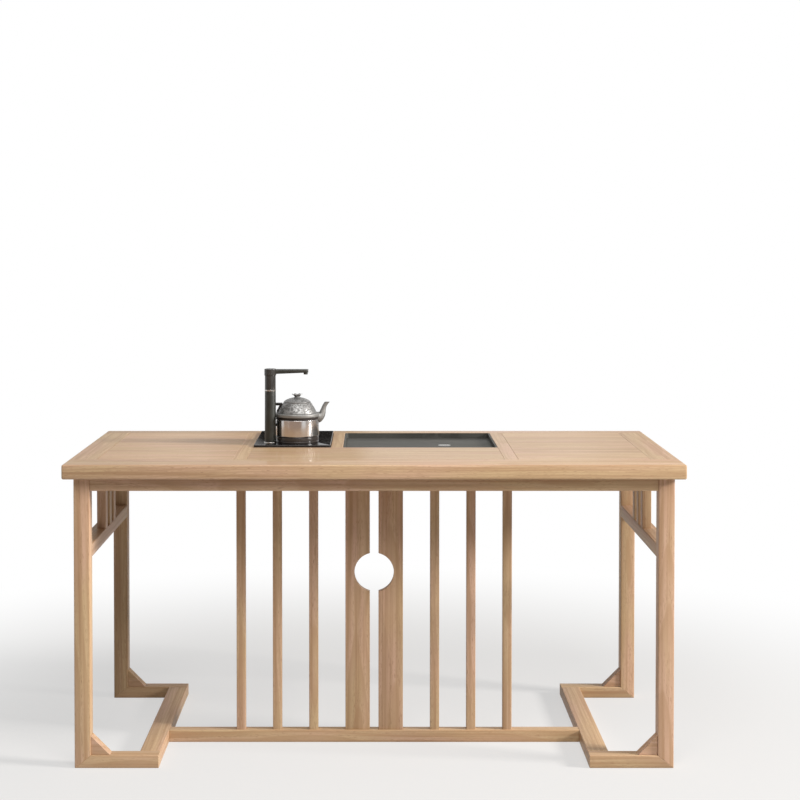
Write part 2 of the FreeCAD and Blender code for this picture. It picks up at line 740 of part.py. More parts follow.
def make_drain_strainer():
    """A flanged steel cup with a ring of holes, let into the slab."""
    x, y = drain_centre()
    top = TRAY_TOP - TRAY_DISH
    under = top - DRAIN_FLANGE_THICK
    end = TRAY_LEDGE - DRAIN_TUBE_END
    flange = disc(x, y, under, DRAIN_FLANGE_RADIUS, DRAIN_FLANGE_THICK)
    tube = disc(x, y, end, DRAIN_TUBE_RADIUS, under - end)
    bore = disc(x, y, end - OVERRUN, DRAIN_TUBE_BORE, under - end + OVERRUN)
    holes = []
    for i in range(DRAIN_HOLE_COUNT):
        turn = 2 * math.pi * i / DRAIN_HOLE_COUNT
        hole_x = x + DRAIN_HOLE_RING * math.cos(turn)
        hole_y = y + DRAIN_HOLE_RING * math.sin(turn)
        holes.append(disc(hole_x, hole_y, under - OVERRUN, DRAIN_HOLE_RADIUS,
                          DRAIN_FLANGE_THICK + 2 * OVERRUN))
    return flange.fuse(tube).cut([bore] + holes)


def make_drain_spigot():
    """The nut that clamps the strainer from below, with the hose spigot."""
    x, y = drain_centre()
    end = TRAY_LEDGE - DRAIN_TUBE_END
    low = end - DRAIN_SPIGOT_LENGTH
    nut = disc(x, y, TRAY_LEDGE - DRAIN_NUT_THICK, DRAIN_NUT_RADIUS, DRAIN_NUT_THICK)
    sleeve = disc(x, y, end - DRAIN_SLEEVE_WALL, DRAIN_TUBE_RADIUS + DRAIN_SLEEVE_WALL,
                  DRAIN_TUBE_END + DRAIN_SLEEVE_WALL)
    spigot = disc(x, y, low, DRAIN_SPIGOT_RADIUS, DRAIN_SPIGOT_LENGTH)
    socket = disc(x, y, end, DRAIN_TUBE_RADIUS + JOINT_GAP, DRAIN_TUBE_END + OVERRUN)
    bore = disc(x, y, low - OVERRUN, DRAIN_SPIGOT_BORE, DRAIN_SPIGOT_LENGTH + 2 * OVERRUN)
    return nut.fuse([sleeve, spigot]).cut([socket, bore]).removeSplitter()


# Tea stove

def stove_span(z0, z1):
    """Limits of the glass and of the housing's collar, inside the cut-out."""
    return (STOVE_LEFT_X + STOVE_CLEARANCE, STOVE_RIGHT_X - STOVE_CLEARANCE,
            CUT_FRONT_Y + STOVE_CLEARANCE, REAR_JOINT_Y - STOVE_CLEARANCE, z0, z1)


def housing_span():
    """Limits of the housing's box, between the ledges and clear of the rear apron."""
    x0, x1 = stove_span(0, 0)[:2]
    return (x0 + LEDGE_WIDTH, x1 - LEDGE_WIDTH, HOUSING_FRONT_Y, LEG_IN_Y - HOUSING_APRON_GAP,
            HOUSING_FLOOR, STOVE_LEDGE)


def make_stove_glass():
    hole = disc(COLUMN_X, COLUMN_Y, GLASS_UNDER - OVERRUN, COLUMN_TAIL_RADIUS + JOINT_GAP,
                GLASS_THICK + 2 * OVERRUN)
    return bar(stove_span(GLASS_UNDER, GLASS_TOP), "z", GLASS_CORNER).cut(hole)


def gland_centre():
    x0, x1, y0, y1, z0, z1 = housing_span()
    return (x1 - GLAND_INSET, y1 - GLAND_INSET)


def make_stove_housing():
    """A steel box with a collar that rests on the ledge and carries the glass."""
    box = housing_span()
    collar = stove_span(STOVE_LEDGE, GLASS_UNDER)
    x0, x1, y0, y1, z0, z1 = widened(box, -HOUSING_WALL)
    hollow = block((x0, x1, y0, y1, z0, GLASS_UNDER + OVERRUN))
    depth = HOUSING_WALL + 2 * OVERRUN
    x, y = gland_centre()
    inlet = disc(COLUMN_X, COLUMN_Y, HOUSING_FLOOR - OVERRUN, INLET_COLLAR_RADIUS + JOINT_GAP, depth)
    cable = disc(x, y, HOUSING_FLOOR - OVERRUN, GLAND_RADIUS + JOINT_GAP, depth)
    shape = block(box).fuse(bar(collar, "z", GLASS_CORNER))
    return shape.cut([hollow, inlet, cable]).removeSplitter()


def make_pump():
    """Motor and impeller in one can, with a collar through the housing's floor and the hose inlet."""
    floor = HOUSING_FLOOR + HOUSING_WALL
    can_top = floor + PUMP_HEIGHT
    inlet_end = INLET_TOP - INLET_LENGTH
    can = disc(COLUMN_X, COLUMN_Y, floor, PUMP_RADIUS, PUMP_HEIGHT)
    neck = disc(COLUMN_X, COLUMN_Y, can_top, PUMP_NECK_RADIUS, COLUMN_TAIL_END - can_top)
    collar = disc(COLUMN_X, COLUMN_Y, INLET_TOP, INLET_COLLAR_RADIUS, floor - INLET_TOP)
    inlet = disc(COLUMN_X, COLUMN_Y, inlet_end, INLET_RADIUS, INLET_LENGTH)
    bore = disc(COLUMN_X, COLUMN_Y, inlet_end - OVERRUN, INLET_BORE, INLET_LENGTH + PUMP_HEIGHT / 2)
    return can.fuse([neck, collar, inlet]).cut(bore)


def make_control_board():
    """The stove's control board on four standoffs, with its transformer."""
    x0, x1, y0, y1, z0, z1 = housing_span()
    floor = HOUSING_FLOOR + HOUSING_WALL
    middle_x = (x0 + x1) / 2
    middle_y = y1 - BOARD_SETBACK - BOARD_DEPTH / 2
    board_z = floor + BOARD_STANDOFF
    reach_x = BOARD_LENGTH / 2
    reach_y = BOARD_DEPTH / 2
    board = block((middle_x - reach_x, middle_x + reach_x, middle_y - reach_y, middle_y + reach_y,
                   board_z, board_z + BOARD_THICK))
    pieces = []
    for x in (middle_x - reach_x + BOARD_EDGE, middle_x + reach_x - BOARD_EDGE):
        for y in (middle_y - reach_y + BOARD_EDGE, middle_y + reach_y - BOARD_EDGE):
            pieces.append(disc(x, y, floor, BOARD_STANDOFF_RADIUS, BOARD_STANDOFF))
    half = TRANSFORMER_SIZE / 2
    top = board_z + BOARD_THICK
    pieces.append(block((middle_x - half, middle_x + half, middle_y - half, middle_y + half,
                         top, top + TRANSFORMER_HEIGHT)))
    return board.fuse(pieces).removeSplitter()


def make_cable_gland():
    """Nut inside the housing, threaded neck through its floor, cap below."""
    x, y = gland_centre()
    nut = disc(x, y, HOUSING_FLOOR + HOUSING_WALL, GLAND_NUT_RADIUS, GLAND_NUT_THICK)
    neck = disc(x, y, HOUSING_FLOOR, GLAND_RADIUS, HOUSING_WALL)
    cap = Part.makeCone(GLAND_NUT_RADIUS, GLAND_RADIUS, GLAND_LENGTH, vec(x, y, HOUSING_FLOOR), DOWN)
    bore = disc(x, y, HOUSING_FLOOR - GLAND_LENGTH - OVERRUN, GLAND_BORE,
                GLAND_LENGTH + HOUSING_WALL + GLAND_NUT_THICK + 2 * OVERRUN)
    return nut.fuse([neck, cap]).cut(bore)


# Pump column and water arm

def column_radius(height):
    """The column's radius at a height above the glass; it tapers a little."""
    share = height / COLUMN_HEIGHT
    return COLUMN_FOOT_RADIUS + (COLUMN_TOP_RADIUS - COLUMN_FOOT_RADIUS) * share


def make_column():
    """Tapered tube with a groove for the bright ring, a tail and a swivel spigot."""
    ring_z = GLASS_TOP + RING_HEIGHT
    waist = column_radius(RING_HEIGHT) - RING_GROOVE
    foot = GLASS_TOP
    outline = [
        (COLUMN_BORE, COLUMN_TAIL_END), (COLUMN_TAIL_RADIUS, COLUMN_TAIL_END),
        (COLUMN_TAIL_RADIUS, foot), (COLUMN_FOOT_RADIUS, foot),
        (column_radius(RING_HEIGHT), ring_z), (waist, ring_z), (waist, ring_z + RING_THICK),
        (column_radius(RING_HEIGHT + RING_THICK), ring_z + RING_THICK),
        (COLUMN_TOP_RADIUS, COLUMN_TOP), (SPIGOT_RADIUS, COLUMN_TOP),
        (SPIGOT_RADIUS, COLUMN_TOP + SPIGOT_LENGTH), (COLUMN_BORE, COLUMN_TOP + SPIGOT_LENGTH),
    ]
    return turned_solid(outline, COLUMN_X, COLUMN_Y)


def make_column_rings():
    """The foot ring, the bright ring in the groove, and the nut under the glass."""
    inner = COLUMN_FOOT_RADIUS + JOINT_GAP
    bevel = (FLANGE_RADIUS - inner) / 2
    foot = [(inner, GLASS_TOP), (FLANGE_RADIUS, GLASS_TOP),
            (FLANGE_RADIUS, GLASS_TOP + FLANGE_THICK - bevel),
            (FLANGE_RADIUS - bevel, GLASS_TOP + FLANGE_THICK), (inner, GLASS_TOP + FLANGE_THICK)]
    ring_z = GLASS_TOP + RING_HEIGHT
    waist = column_radius(RING_HEIGHT) - RING_GROOVE
    proud = column_radius(RING_HEIGHT) + RING_PROUD
    ring = [(waist, ring_z), (proud, ring_z), (proud, ring_z + RING_THICK), (waist, ring_z + RING_THICK)]
    nut = [(COLUMN_TAIL_RADIUS, COLUMN_TAIL_END), (TAIL_NUT_RADIUS, COLUMN_TAIL_END),
           (TAIL_NUT_RADIUS, GLASS_UNDER), (COLUMN_TAIL_RADIUS, GLASS_UNDER)]
    return Part.Compound([turned_solid(outline, COLUMN_X, COLUMN_Y) for outline in (foot, ring, nut)])


def arm_blank(base, top):
    """The arm seen from the side and from above, crossed into one tapering bar."""
    upper = top - ARM_DROP
    tip_x = COLUMN_X + ARM_REACH
    side = [vec(COLUMN_X, COLUMN_Y - ARM_WIDTH, upper), vec(tip_x, COLUMN_Y - ARM_WIDTH, upper),
            vec(tip_x, COLUMN_Y - ARM_WIDTH, upper - ARM_TIP_THICK),
            vec(COLUMN_X, COLUMN_Y - ARM_WIDTH, upper - ARM_ROOT_THICK)]
    slab = Part.Face(Part.makePolygon(side + side[:1])).extrude(vec(0, 2 * ARM_WIDTH, 0))
    root, tip = ARM_WIDTH / 2, ARM_TIP_WIDTH / 2
    low = base - OVERRUN
    corners = [vec(COLUMN_X, COLUMN_Y - root, low), vec(tip_x - tip, COLUMN_Y - tip, low),
               vec(tip_x - tip, COLUMN_Y + tip, low), vec(COLUMN_X, COLUMN_Y + root, low)]
    nose = Part.Arc(corners[1], vec(tip_x, COLUMN_Y, low), corners[2]).toShape()
    plan = Part.Wire([Part.makeLine(corners[0], corners[1]), nose,
                      Part.makeLine(corners[2], corners[3]), Part.makeLine(corners[3], corners[0])])
    return slab.common(Part.Face(plan).extrude(vec(0, 0, top - low)))


def make_water_arm():
    """Hub over the column's spigot, tapering arm and downward outlet, bored for water."""
    base = COLUMN_TOP
    top = base + HUB_HEIGHT
    hub = disc(COLUMN_X, COLUMN_Y, base, HUB_RADIUS, HUB_HEIGHT)
    rims = [edge for edge in hub.Edges if edge.CenterOfMass.z > top - HUB_ARRIS
            and edge.Length > HUB_HEIGHT + HUB_RADIUS]
    hub = hub.makeFillet(HUB_ARRIS, rims)
    level = top - ARM_DROP - ARM_TIP_THICK / 2
    under = top - ARM_DROP - ARM_TIP_THICK
    outlet_x = COLUMN_X + ARM_REACH - OUTLET_INSET
    mouth = under - OUTLET_DROP
    outlet = disc(outlet_x, COLUMN_Y, mouth, OUTLET_RADIUS, level - mouth)
    shape = hub.fuse([arm_blank(base, top), outlet])
    socket = disc(COLUMN_X, COLUMN_Y, base - OVERRUN, SPIGOT_RADIUS + SWIVEL_CLEARANCE,
                  SPIGOT_LENGTH + OVERRUN)
    chamber = disc(COLUMN_X, COLUMN_Y, base, COLUMN_BORE, level - base)
    channel = Part.makeCylinder(ARM_BORE, ARM_REACH - OUTLET_INSET, vec(COLUMN_X, COLUMN_Y, level),
                                vec(1, 0, 0))
    drop = disc(outlet_x, COLUMN_Y, mouth - OVERRUN, ARM_BORE, level - mouth + OVERRUN)
    return shape.cut([socket, chamber, channel, drop])


# Heater base and kettle

def make_heater_base():
    """A round gloss base with the upright connector pin in its middle."""
    edge = HEATER_ARRIS
    outline = [
        (0, GLASS_TOP), (HEATER_RADIUS, GLASS_TOP), (HEATER_RADIUS, HEATER_TOP - edge),
        (HEATER_RADIUS - edge, HEATER_TOP), (CONNECTOR_RADIUS, HEATER_TOP),
        (CONNECTOR_RADIUS, HEATER_TOP + CONNECTOR_HEIGHT), (0, HEATER_TOP + CONNECTOR_HEIGHT),
    ]
    return turned_solid(outline, KETTLE_X, KETTLE_Y)


def steel_outside():
    """The steel body's outer outline, from its foot up to the top of the brim."""
    bevel = KETTLE_BEVEL
    return [
        (KETTLE_RADIUS - bevel, HEATER_TOP), (KETTLE_RADIUS, HEATER_TOP + bevel),
        (KETTLE_RADIUS, BODY_TOP - bevel), (NECK_RADIUS, BODY_TOP), (NECK_RADIUS, BRIM_UNDER),
        (BRIM_RADIUS, BRIM_UNDER + bevel), (BRIM_RADIUS, BRIM_TOP - bevel),
        (BRIM_RADIUS - bevel, BRIM_TOP),
    ]


def steel_inside():
    """The steel body's inner outline, from the brim down to the floor and its socket."""
    wall = KETTLE_WALL
    floor = HEATER_TOP + wall
    crown = HEATER_TOP + SOCKET_DEPTH
    return [
        (SHOULDER_FOOT_RADIUS - SHOULDER_WALL, BRIM_TOP),
        (SHOULDER_FOOT_RADIUS - SHOULDER_WALL, BRIM_TOP - wall), (NECK_RADIUS - wall, BRIM_TOP - wall),
        (NECK_RADIUS - wall, BODY_TOP - wall), (KETTLE_RADIUS - wall, BODY_TOP - wall - KETTLE_BEVEL),
        (KETTLE_RADIUS - wall, floor), (SOCKET_RADIUS + wall, floor),
        (SOCKET_RADIUS + wall, crown + wall), (0, crown + wall), (0, crown),
        (SOCKET_RADIUS, crown), (SOCKET_RADIUS, HEATER_TOP),
    ]


def shoulder_arc(inset):
    """The three points of the shoulder's arc, moved in by a wall or by nothing."""
    foot = (SHOULDER_FOOT_RADIUS - inset, BRIM_TOP)
    rim = (SHOULDER_TOP_RADIUS - inset, MOUTH_TOP)
    run, rise = foot[0] - rim[0], rim[1] - foot[1]
    length = math.hypot(run, rise)
    middle = ((foot[0] + rim[0]) / 2 + SHOULDER_BULGE * rise / length,
              (foot[1] + rim[1]) / 2 + SHOULDER_BULGE * run / length)
    return [vec(KETTLE_X + r, KETTLE_Y, z) for r, z in (foot, middle, rim)]


def turned_face(edges):
    """Revolves a closed outline of edges round the kettle's own axis."""
    return Part.Face(Part.Wire(edges)).revolve(vec(KETTLE_X, KETTLE_Y, 0), UP, 360)


def make_kettle_shoulder():
    """The cast dome between the brim and the lid."""
    outer = shoulder_arc(0)
    inner = shoulder_arc(SHOULDER_WALL)
    return turned_face([Part.Arc(*outer).toShape(), Part.makeLine(outer[2], inner[2]),
                        Part.Arc(*inner).toShape(), Part.makeLine(inner[0], outer[0])])


def kettle_envelope():
    """The kettle without spout, handle and lid, as if it were solid throughout."""
    steel = turned_solid([(0, HEATER_TOP)] + steel_outside() + [(0, BRIM_TOP)], KETTLE_X, KETTLE_Y)
    arc = shoulder_arc(0)
    foot = vec(KETTLE_X, KETTLE_Y, BRIM_TOP)
    crown = vec(KETTLE_X, KETTLE_Y, MOUTH_TOP)
    dome = turned_face([Part.Arc(*arc).toShape(), Part.makeLine(arc[2], crown),
                        Part.makeLine(crown, foot), Part.makeLine(foot, arc[0])])
    return steel.fuse(dome)


def spout_loft(thin):
    """The S-shaped spout as a loft through circles, thinner by a wall for its bore."""
    reach_shares = (-0.53, 0.28, 0.42, 0.55, 0.72, 1.0, 1.28)
    rise_shares = (0.0, 0.085, 0.27, 0.54, 0.78, 1.0, 1.15)
    tilt_shares = (1.0, 0.72, 0.3, 0.17, 0.33, 0.5, 0.5)
    width_shares = (1.0, 0.95, 0.57, 0.23, 0.05, 0.0, 0.0)
    wires = []
    for reach, rise, tilt, width in zip(reach_shares, rise_shares, tilt_shares, width_shares):
        ring = Part.makeCircle(SPOUT_TIP_RADIUS + (SPOUT_ROOT_RADIUS - SPOUT_TIP_RADIUS) * width - thin)
        ring.rotate(vec(0, 0, 0), vec(0, 1, 0), 90 * tilt)
        ring.translate(vec(KETTLE_X + KETTLE_RADIUS + SPOUT_REACH * reach, KETTLE_Y,
                           HEATER_TOP + SPOUT_LEVEL + SPOUT_RISE * rise))
        wires.append(Part.Wire(ring))
    return Part.makeLoft(wires, True, False)


def make_kettle_body():
    """Spun steel body with groove, brim, floor and socket, drilled for the spout."""
    shell = turned_solid(steel_outside() + steel_inside(), KETTLE_X, KETTLE_Y)
    return shell.cut(spout_loft(SPOUT_WALL))


def make_kettle_spout():
    """The spout's wall, fitted to the body and cut level at its mouth."""
    mouth = HEATER_TOP + SPOUT_LEVEL + SPOUT_RISE
    above = disc(KETTLE_X, KETTLE_Y, mouth, KETTLE_RADIUS + 2 * SPOUT_REACH, SPOUT_RISE)
    return spout_loft(0).cut([spout_loft(SPOUT_WALL), kettle_envelope(), above])


def rounded_path(place, radius):
    """Straight runs joined by tangent arcs."""
    edges = []
    start = place[0]
    for before, corner, after in zip(place, place[1:], place[2:]):
        back = (before - corner).normalize()
        ahead = (after - corner).normalize()
        half = back.getAngle(ahead) / 2
        cut = radius / math.tan(half)
        inward = (back + ahead).normalize()
        middle = corner + inward * (radius / math.sin(half) - radius)
        edges.append(Part.makeLine(start, corner + back * cut))
        edges.append(Part.Arc(corner + back * cut, middle, corner + ahead * cut).toShape())
        start = corner + ahead * cut
    edges.append(Part.makeLine(start, place[-1]))
    return Part.Wire(edges)


def make_kettle_handle():
    """A flat black loop beside the body, with a plate along the shoulder."""
    top = BRIM_TOP + HANDLE_TOP_RISE
    foot = HEATER_TOP + HANDLE_FOOT_LEVEL
    outer_x = KETTLE_X - HANDLE_REACH + HANDLE_THICK / 2
    root_x = KETTLE_X - MOUTH_RADIUS
    place = [vec(root_x, KETTLE_Y, top), vec(outer_x, KETTLE_Y, top),
             vec(outer_x, KETTLE_Y, foot), vec(root_x, KETTLE_Y, foot)]
    half_w, half_t = HANDLE_WIDTH / 2, HANDLE_THICK / 2
    corners = [vec(root_x, KETTLE_Y + w, top + t)
               for w, t in ((-half_w, -half_t), (half_w, -half_t), (half_w, half_t), (-half_w, half_t))]
    path = rounded_path(place, HANDLE_BEND)
    loop = path.makePipeShell([Part.makePolygon(corners + corners[:1])], True, False)
    arc = shoulder_arc(-HANDLE_PLATE_THICK)
    low, high = top - HANDLE_PLATE_DROP, top + half_t
    slope = (arc[2].x - arc[0].x) / (arc[2].z - arc[0].z)
    edge_low = arc[0].x + slope * (low - arc[0].z) - KETTLE_X
    edge_high = arc[0].x + slope * (high - arc[0].z) - KETTLE_X
    outline = [vec(root_x, 0, low), vec(KETTLE_X - edge_low, 0, low),
               vec(KETTLE_X - edge_high, 0, high), vec(root_x, 0, high)]
    plate = Part.Face(Part.makePolygon(outline + outline[:1])).extrude(vec(0, HANDLE_WIDTH, 0))
    plate.translate(vec(0, KETTLE_Y - half_w, 0))
    return loop.fuse(plate).cut(kettle_envelope()).removeSplitter()


# Lid

def make_kettle_lid():
    """A shallow domed lid with a collar that drops into the mouth, and its flared knob."""
    collar = MOUTH_RADIUS - LID_COLLAR_GAP
    edge_top = MOUTH_TOP + LID_EDGE
    mid_share = 0.55
    bow = LID_RISE / SHOULDER_TOP_RADIUS
    mid_r = SHOULDER_TOP_RADIUS * mid_share
    mid_rise = LID_RISE - bow * mid_r * mid_share
    under = [vec(KETTLE_X + r, KETTLE_Y, z) for r, z in (
        (0, LID_TOP - LID_WALL), (mid_r - LID_WALL, edge_top + mid_rise - LID_WALL),
        (collar - LID_WALL, MOUTH_TOP))]
    over = [vec(KETTLE_X + r, KETTLE_Y, z) for r, z in (
        (SHOULDER_TOP_RADIUS, edge_top), (mid_r, edge_top + mid_rise), (0, LID_TOP))]
    rim = [vec(KETTLE_X + r, KETTLE_Y, z) for r, z in (
        (collar - LID_WALL, MOUTH_TOP), (collar - LID_WALL, MOUTH_TOP - LID_COLLAR_DEPTH),
        (collar, MOUTH_TOP - LID_COLLAR_DEPTH), (collar, MOUTH_TOP),
        (SHOULDER_TOP_RADIUS, MOUTH_TOP), (SHOULDER_TOP_RADIUS, edge_top))]
    edges = [Part.Arc(*under).toShape()]
    edges += [Part.makeLine(a, b) for a, b in zip(rim, rim[1:])]
    edges += [Part.Arc(*over).toShape(), Part.makeLine(over[2], under[0])]
    knob_top = LID_TOP + KNOB_HEIGHT
    knob = turned_solid([
        (0, LID_TOP - LID_WALL / 2), (KNOB_FOOT_RADIUS, LID_TOP - LID_WALL / 2),
        (KNOB_FOOT_RADIUS, LID_TOP), (KNOB_NECK_RADIUS, LID_TOP + KNOB_HEIGHT / 3),
        (KNOB_TOP_RADIUS, knob_top - KNOB_RIM), (KNOB_TOP_RADIUS, knob_top),
        (0, knob_top - KNOB_DISH),
    ], KETTLE_X, KETTLE_Y)
    return turned_face(edges).fuse(knob).removeSplitter()


def build_base():
    for side_name, side in SIDES:
        for end_name, end in ENDS:
            place = "{}_{}".format(end_name, side_name)
            export("leg_" + place, make_leg(side, end))
            export("foot_" + place, make_foot(side, end))
            export("corner_block_" + place, make_corner_block(side, end))
        export("runner_" + side_name, make_runner(side))
        export("end_rail_" + side_name, make_end_rail(side))
        slats = [make_end_slat(span) for span in end_slat_spans(side)]
        export("end_slats_" + side_name, Part.Compound(slats))
    for where in ("front", "rear", "left", "right"):
        export("apron_" + where, make_apron(where))
    export("apron_screws", make_screws())


def build_screen():
    export("stretcher", make_stretcher())
    export("screen_top_rail", make_beam())
    for name, span in screen_spans().items():
        export(name, make_screen_upright(name, span))


def build_top():
    spans = top_spans()
    for name in spans:
        export(name, make_top_member(name, spans))
    export("stone_tray", make_stone_tray())
    export("drain_strainer", make_drain_strainer())
    export("drain_spigot", make_drain_spigot())


def build_stove():
    export("stove_glass", make_stove_glass())
    export("stove_housing", make_stove_housing())
    export("water_pump", make_pump())
    export("control_board", make_control_board())
    export("cable_gland", make_cable_gland())
    export("pump_column", make_column())
    export("column_rings", make_column_rings())
    export("water_arm", make_water_arm())
    export("heater_base", make_heater_base())
    export("kettle_body", make_kettle_body())
    export("kettle_shoulder", make_kettle_shoulder())
    export("kettle_spout", make_kettle_spout())
    export("kettle_handle", make_kettle_handle())
    export("kettle_lid", make_kettle_lid())


os.makedirs("parts", exist_ok=True)
build_base()
build_screen()
build_top()
build_stove()
print("written", len(os.listdir("parts")), "parts")
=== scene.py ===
# %% [markdown]
# # A gongfu tea table
#
# The table is pale oak under a clear lacquer: a framed top on a slatted base, a stone basin let into
# the top, and a small built-in stove with its water arm and kettle. A CAD model already holds every
# part at its real size and in its real place. This scene loads it, keeps it as the frame, and gives
# each part its edges, grain and finish.

# %% Load the CAD frame
import math
import random

import bmesh
import bpy
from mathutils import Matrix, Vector


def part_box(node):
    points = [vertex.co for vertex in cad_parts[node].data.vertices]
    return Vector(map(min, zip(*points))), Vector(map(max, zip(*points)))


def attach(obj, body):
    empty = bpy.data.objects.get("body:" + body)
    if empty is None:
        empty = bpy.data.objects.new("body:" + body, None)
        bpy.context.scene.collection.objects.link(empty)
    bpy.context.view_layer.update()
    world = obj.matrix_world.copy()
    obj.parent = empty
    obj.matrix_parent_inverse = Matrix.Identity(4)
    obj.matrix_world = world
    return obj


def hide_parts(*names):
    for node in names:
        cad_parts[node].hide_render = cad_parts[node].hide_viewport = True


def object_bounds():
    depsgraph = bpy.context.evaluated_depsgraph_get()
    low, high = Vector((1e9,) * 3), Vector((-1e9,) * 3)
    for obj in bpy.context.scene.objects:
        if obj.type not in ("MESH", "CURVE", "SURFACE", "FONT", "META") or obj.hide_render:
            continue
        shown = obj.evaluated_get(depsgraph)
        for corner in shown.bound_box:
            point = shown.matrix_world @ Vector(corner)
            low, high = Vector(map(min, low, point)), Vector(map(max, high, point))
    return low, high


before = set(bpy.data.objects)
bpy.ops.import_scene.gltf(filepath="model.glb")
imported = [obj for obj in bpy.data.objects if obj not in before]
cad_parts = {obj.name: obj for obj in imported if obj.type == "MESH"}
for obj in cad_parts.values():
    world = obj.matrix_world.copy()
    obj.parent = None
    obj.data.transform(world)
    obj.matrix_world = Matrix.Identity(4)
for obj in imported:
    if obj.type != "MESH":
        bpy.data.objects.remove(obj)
cad_low, cad_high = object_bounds()
MM = 0.001
print("CAD box:", [round(v, 3) for v in cad_low], [round(v, 3) for v in cad_high])

# %% [markdown]
# ## The camera comes first
#
# The guests look at the table from just above its top, and almost level. A camera could be aimed by
# eye, but here its place was worked out from the table's own corners, so that every later piece can
# be judged where it will be seen. It stands square to the table, and a small lens shift, as on a view
# camera, moves the picture instead of tilting the camera, so that the legs stay upright.

# %% Camera
CAMERA_PLACE = (0.0, -4.3039, 1.3048)
CAMERA_DOWN = math.radians(1.5)


def new_object(name, data):
    """An object in the scene, at the origin and unturned."""
    made = bpy.data.objects.new(name, data)
    bpy.context.scene.collection.objects.link(made)
    return made


camera_data = bpy.data.cameras.new("camera")
camera_data.sensor_width = 36
camera_data.lens = 73.57
camera_data.shift_x = 0.0323
camera_data.shift_y = -0.1511
camera = new_object("camera", camera_data)
camera.location = CAMERA_PLACE
camera.rotation_euler = (math.pi / 2 - CAMERA_DOWN, 0, 0)
bpy.context.scene.camera = camera
print("camera at", CAMERA_PLACE)

# %% [markdown]
# ## Colours and nodes
#
# Colours are written as hex values, as a paint chart gives them, and one function turns them to the
# linear values that a shader takes. Materials and Geometry Nodes are both node trees, so one more
# function adds any node with its settings, values and links. A kind of node that comes up often has a
# name, which holds its type and its settings, so a finish reads like a list.

# %% Colour, node and finish helpers
def tint(code):
    """A hex colour as the linear red, green, blue and alpha of a shader."""
    shares = [int(code[i:i + 2], 16) / 255 for i in (1, 3, 5)]
    linear = [s / 12.92 if s <= 0.04045 else ((s + 0.055) / 1.055) ** 2.4 for s in shares]
    return (*linear, 1.0)


def fill(tree, node, inputs):
    """Sets a node's inputs. Each takes a number, a colour, an output of another node or a list of those."""
    for name, value in inputs.items():
        if isinstance(value, (bpy.types.NodeSocket, list)):
            for source in value if isinstance(value, list) else [value]:
                tree.links.new(source, node.inputs[name])
        else:
            node.inputs[name].default_value = value


def add(tree, kind, inputs=None):
    """Adds a node and returns its outputs. A kind is a node's type, alone or with its settings."""
    node_type, settings = (kind, {}) if isinstance(kind, str) else kind
    node = tree.nodes.new(node_type)
    for name, value in settings.items():
        setattr(node, name, value)
    fill(tree, node, inputs or {})
    return node.outputs


def new_finish(name, constants):
    """A material with its Principled shader, set to the constants of the real surface."""
    material = bpy.data.materials.new(name)
    material.use_nodes = True
    tree = material.node_tree
    shader = tree.nodes["Principled BSDF"]
    fill(tree, shader, constants)
    return material, tree, shader


PLACE, NOISE = "ShaderNodeTexCoord", "ShaderNodeTexNoise"
RANGE, BUMP = "ShaderNodeMapRange", "ShaderNodeBump"
EASED = (RANGE, {"interpolation_type": "SMOOTHSTEP"})
ATTRIBUTE = "ShaderNodeAttribute"
TIMES, OVER, PLUS, MINUS, LARGER, SINE, FRACTION, UNSIGNED = (
    ("ShaderNodeMath", {"operation": operation}) for operation in (
        "MULTIPLY", "DIVIDE", "ADD", "SUBTRACT", "MAXIMUM", "SINE", "FRACT", "ABSOLUTE"))
STRETCHED, SHIFTED, STRETCHED_AND_SHIFTED, SCALED, LENGTH = (
    ("ShaderNodeVectorMath", {"operation": operation}) for operation in (
        "MULTIPLY", "ADD", "MULTIPLY_ADD", "SCALE", "LENGTH"))
MIX = ("ShaderNodeMix", {"data_type": "RGBA"})
OVERLAY = ("ShaderNodeMix", {"data_type": "RGBA", "blend_type": "OVERLAY"})
# A Mix node keeps inputs for numbers, vectors and colours. These are the colour's sockets.
MIX_SHARE, MIX_A, MIX_B, MIX_OUT = 0, 6, 7, 2
print("helpers ready")

# %% [markdown]
# ## Studio
#
# The table stands on a pale floor that runs out to white. A white sweep of paper would do, but a sweep
# has a fold to hide, so the floor itself turns to plain white away from the table, and only for rays
# from the camera, mirrors and glass. Near the table it is real paint that takes the shadow. A large key
# lamp stands low on the right, a softbox hangs high in front, and a dim sky fills in. So the top throws
# its shade over the apron and the screen, as a real top does.

# %% Floor
FLOOR_HALF = 30.0
SHADOW_REACH = 0.9
WHITE_REACH = 2.2
NEAR_WHITE = 0.55              # share of plain white even near the table, as a bright floor is exposed


def seen_directly(tree):
    """1 for rays from the camera, from mirrors and through glass, and 0 for diffuse light."""
    rays = add(tree, "ShaderNodeLightPath")
    pair = add(tree, LARGER, {0: rays["Is Camera Ray"], 1: rays["Is Glossy Ray"]})[0]
    return add(tree, LARGER, {0: pair, 1: rays["Is Transmission Ray"]})[0]


def make_floor_finish():
    """Matt pale grey floor paint, which gives way to plain white far from the table."""
    material, tree, shader = new_finish("floor_paint", {
        "Base Color": tint("#C3C1BE"), "Roughness": 0.8, "Specular IOR Level": 0.2})
    reach = add(tree, LENGTH, {0: add(tree, PLACE)["Object"]})["Value"]
    fade = add(tree, EASED, {
        "Value": reach, "From Min": SHADOW_REACH, "From Max": WHITE_REACH, "To Min": NEAR_WHITE})[0]
    share = add(tree, TIMES, {0: fade, 1: seen_directly(tree)})[0]
    white = add(tree, "ShaderNodeEmission")[0]
    mixed = add(tree, "ShaderNodeMixShader", {0: share, 1: shader.outputs[0], 2: white})[0]
    fill(tree, tree.nodes["Material Output"], {"Surface": mixed})
    return material


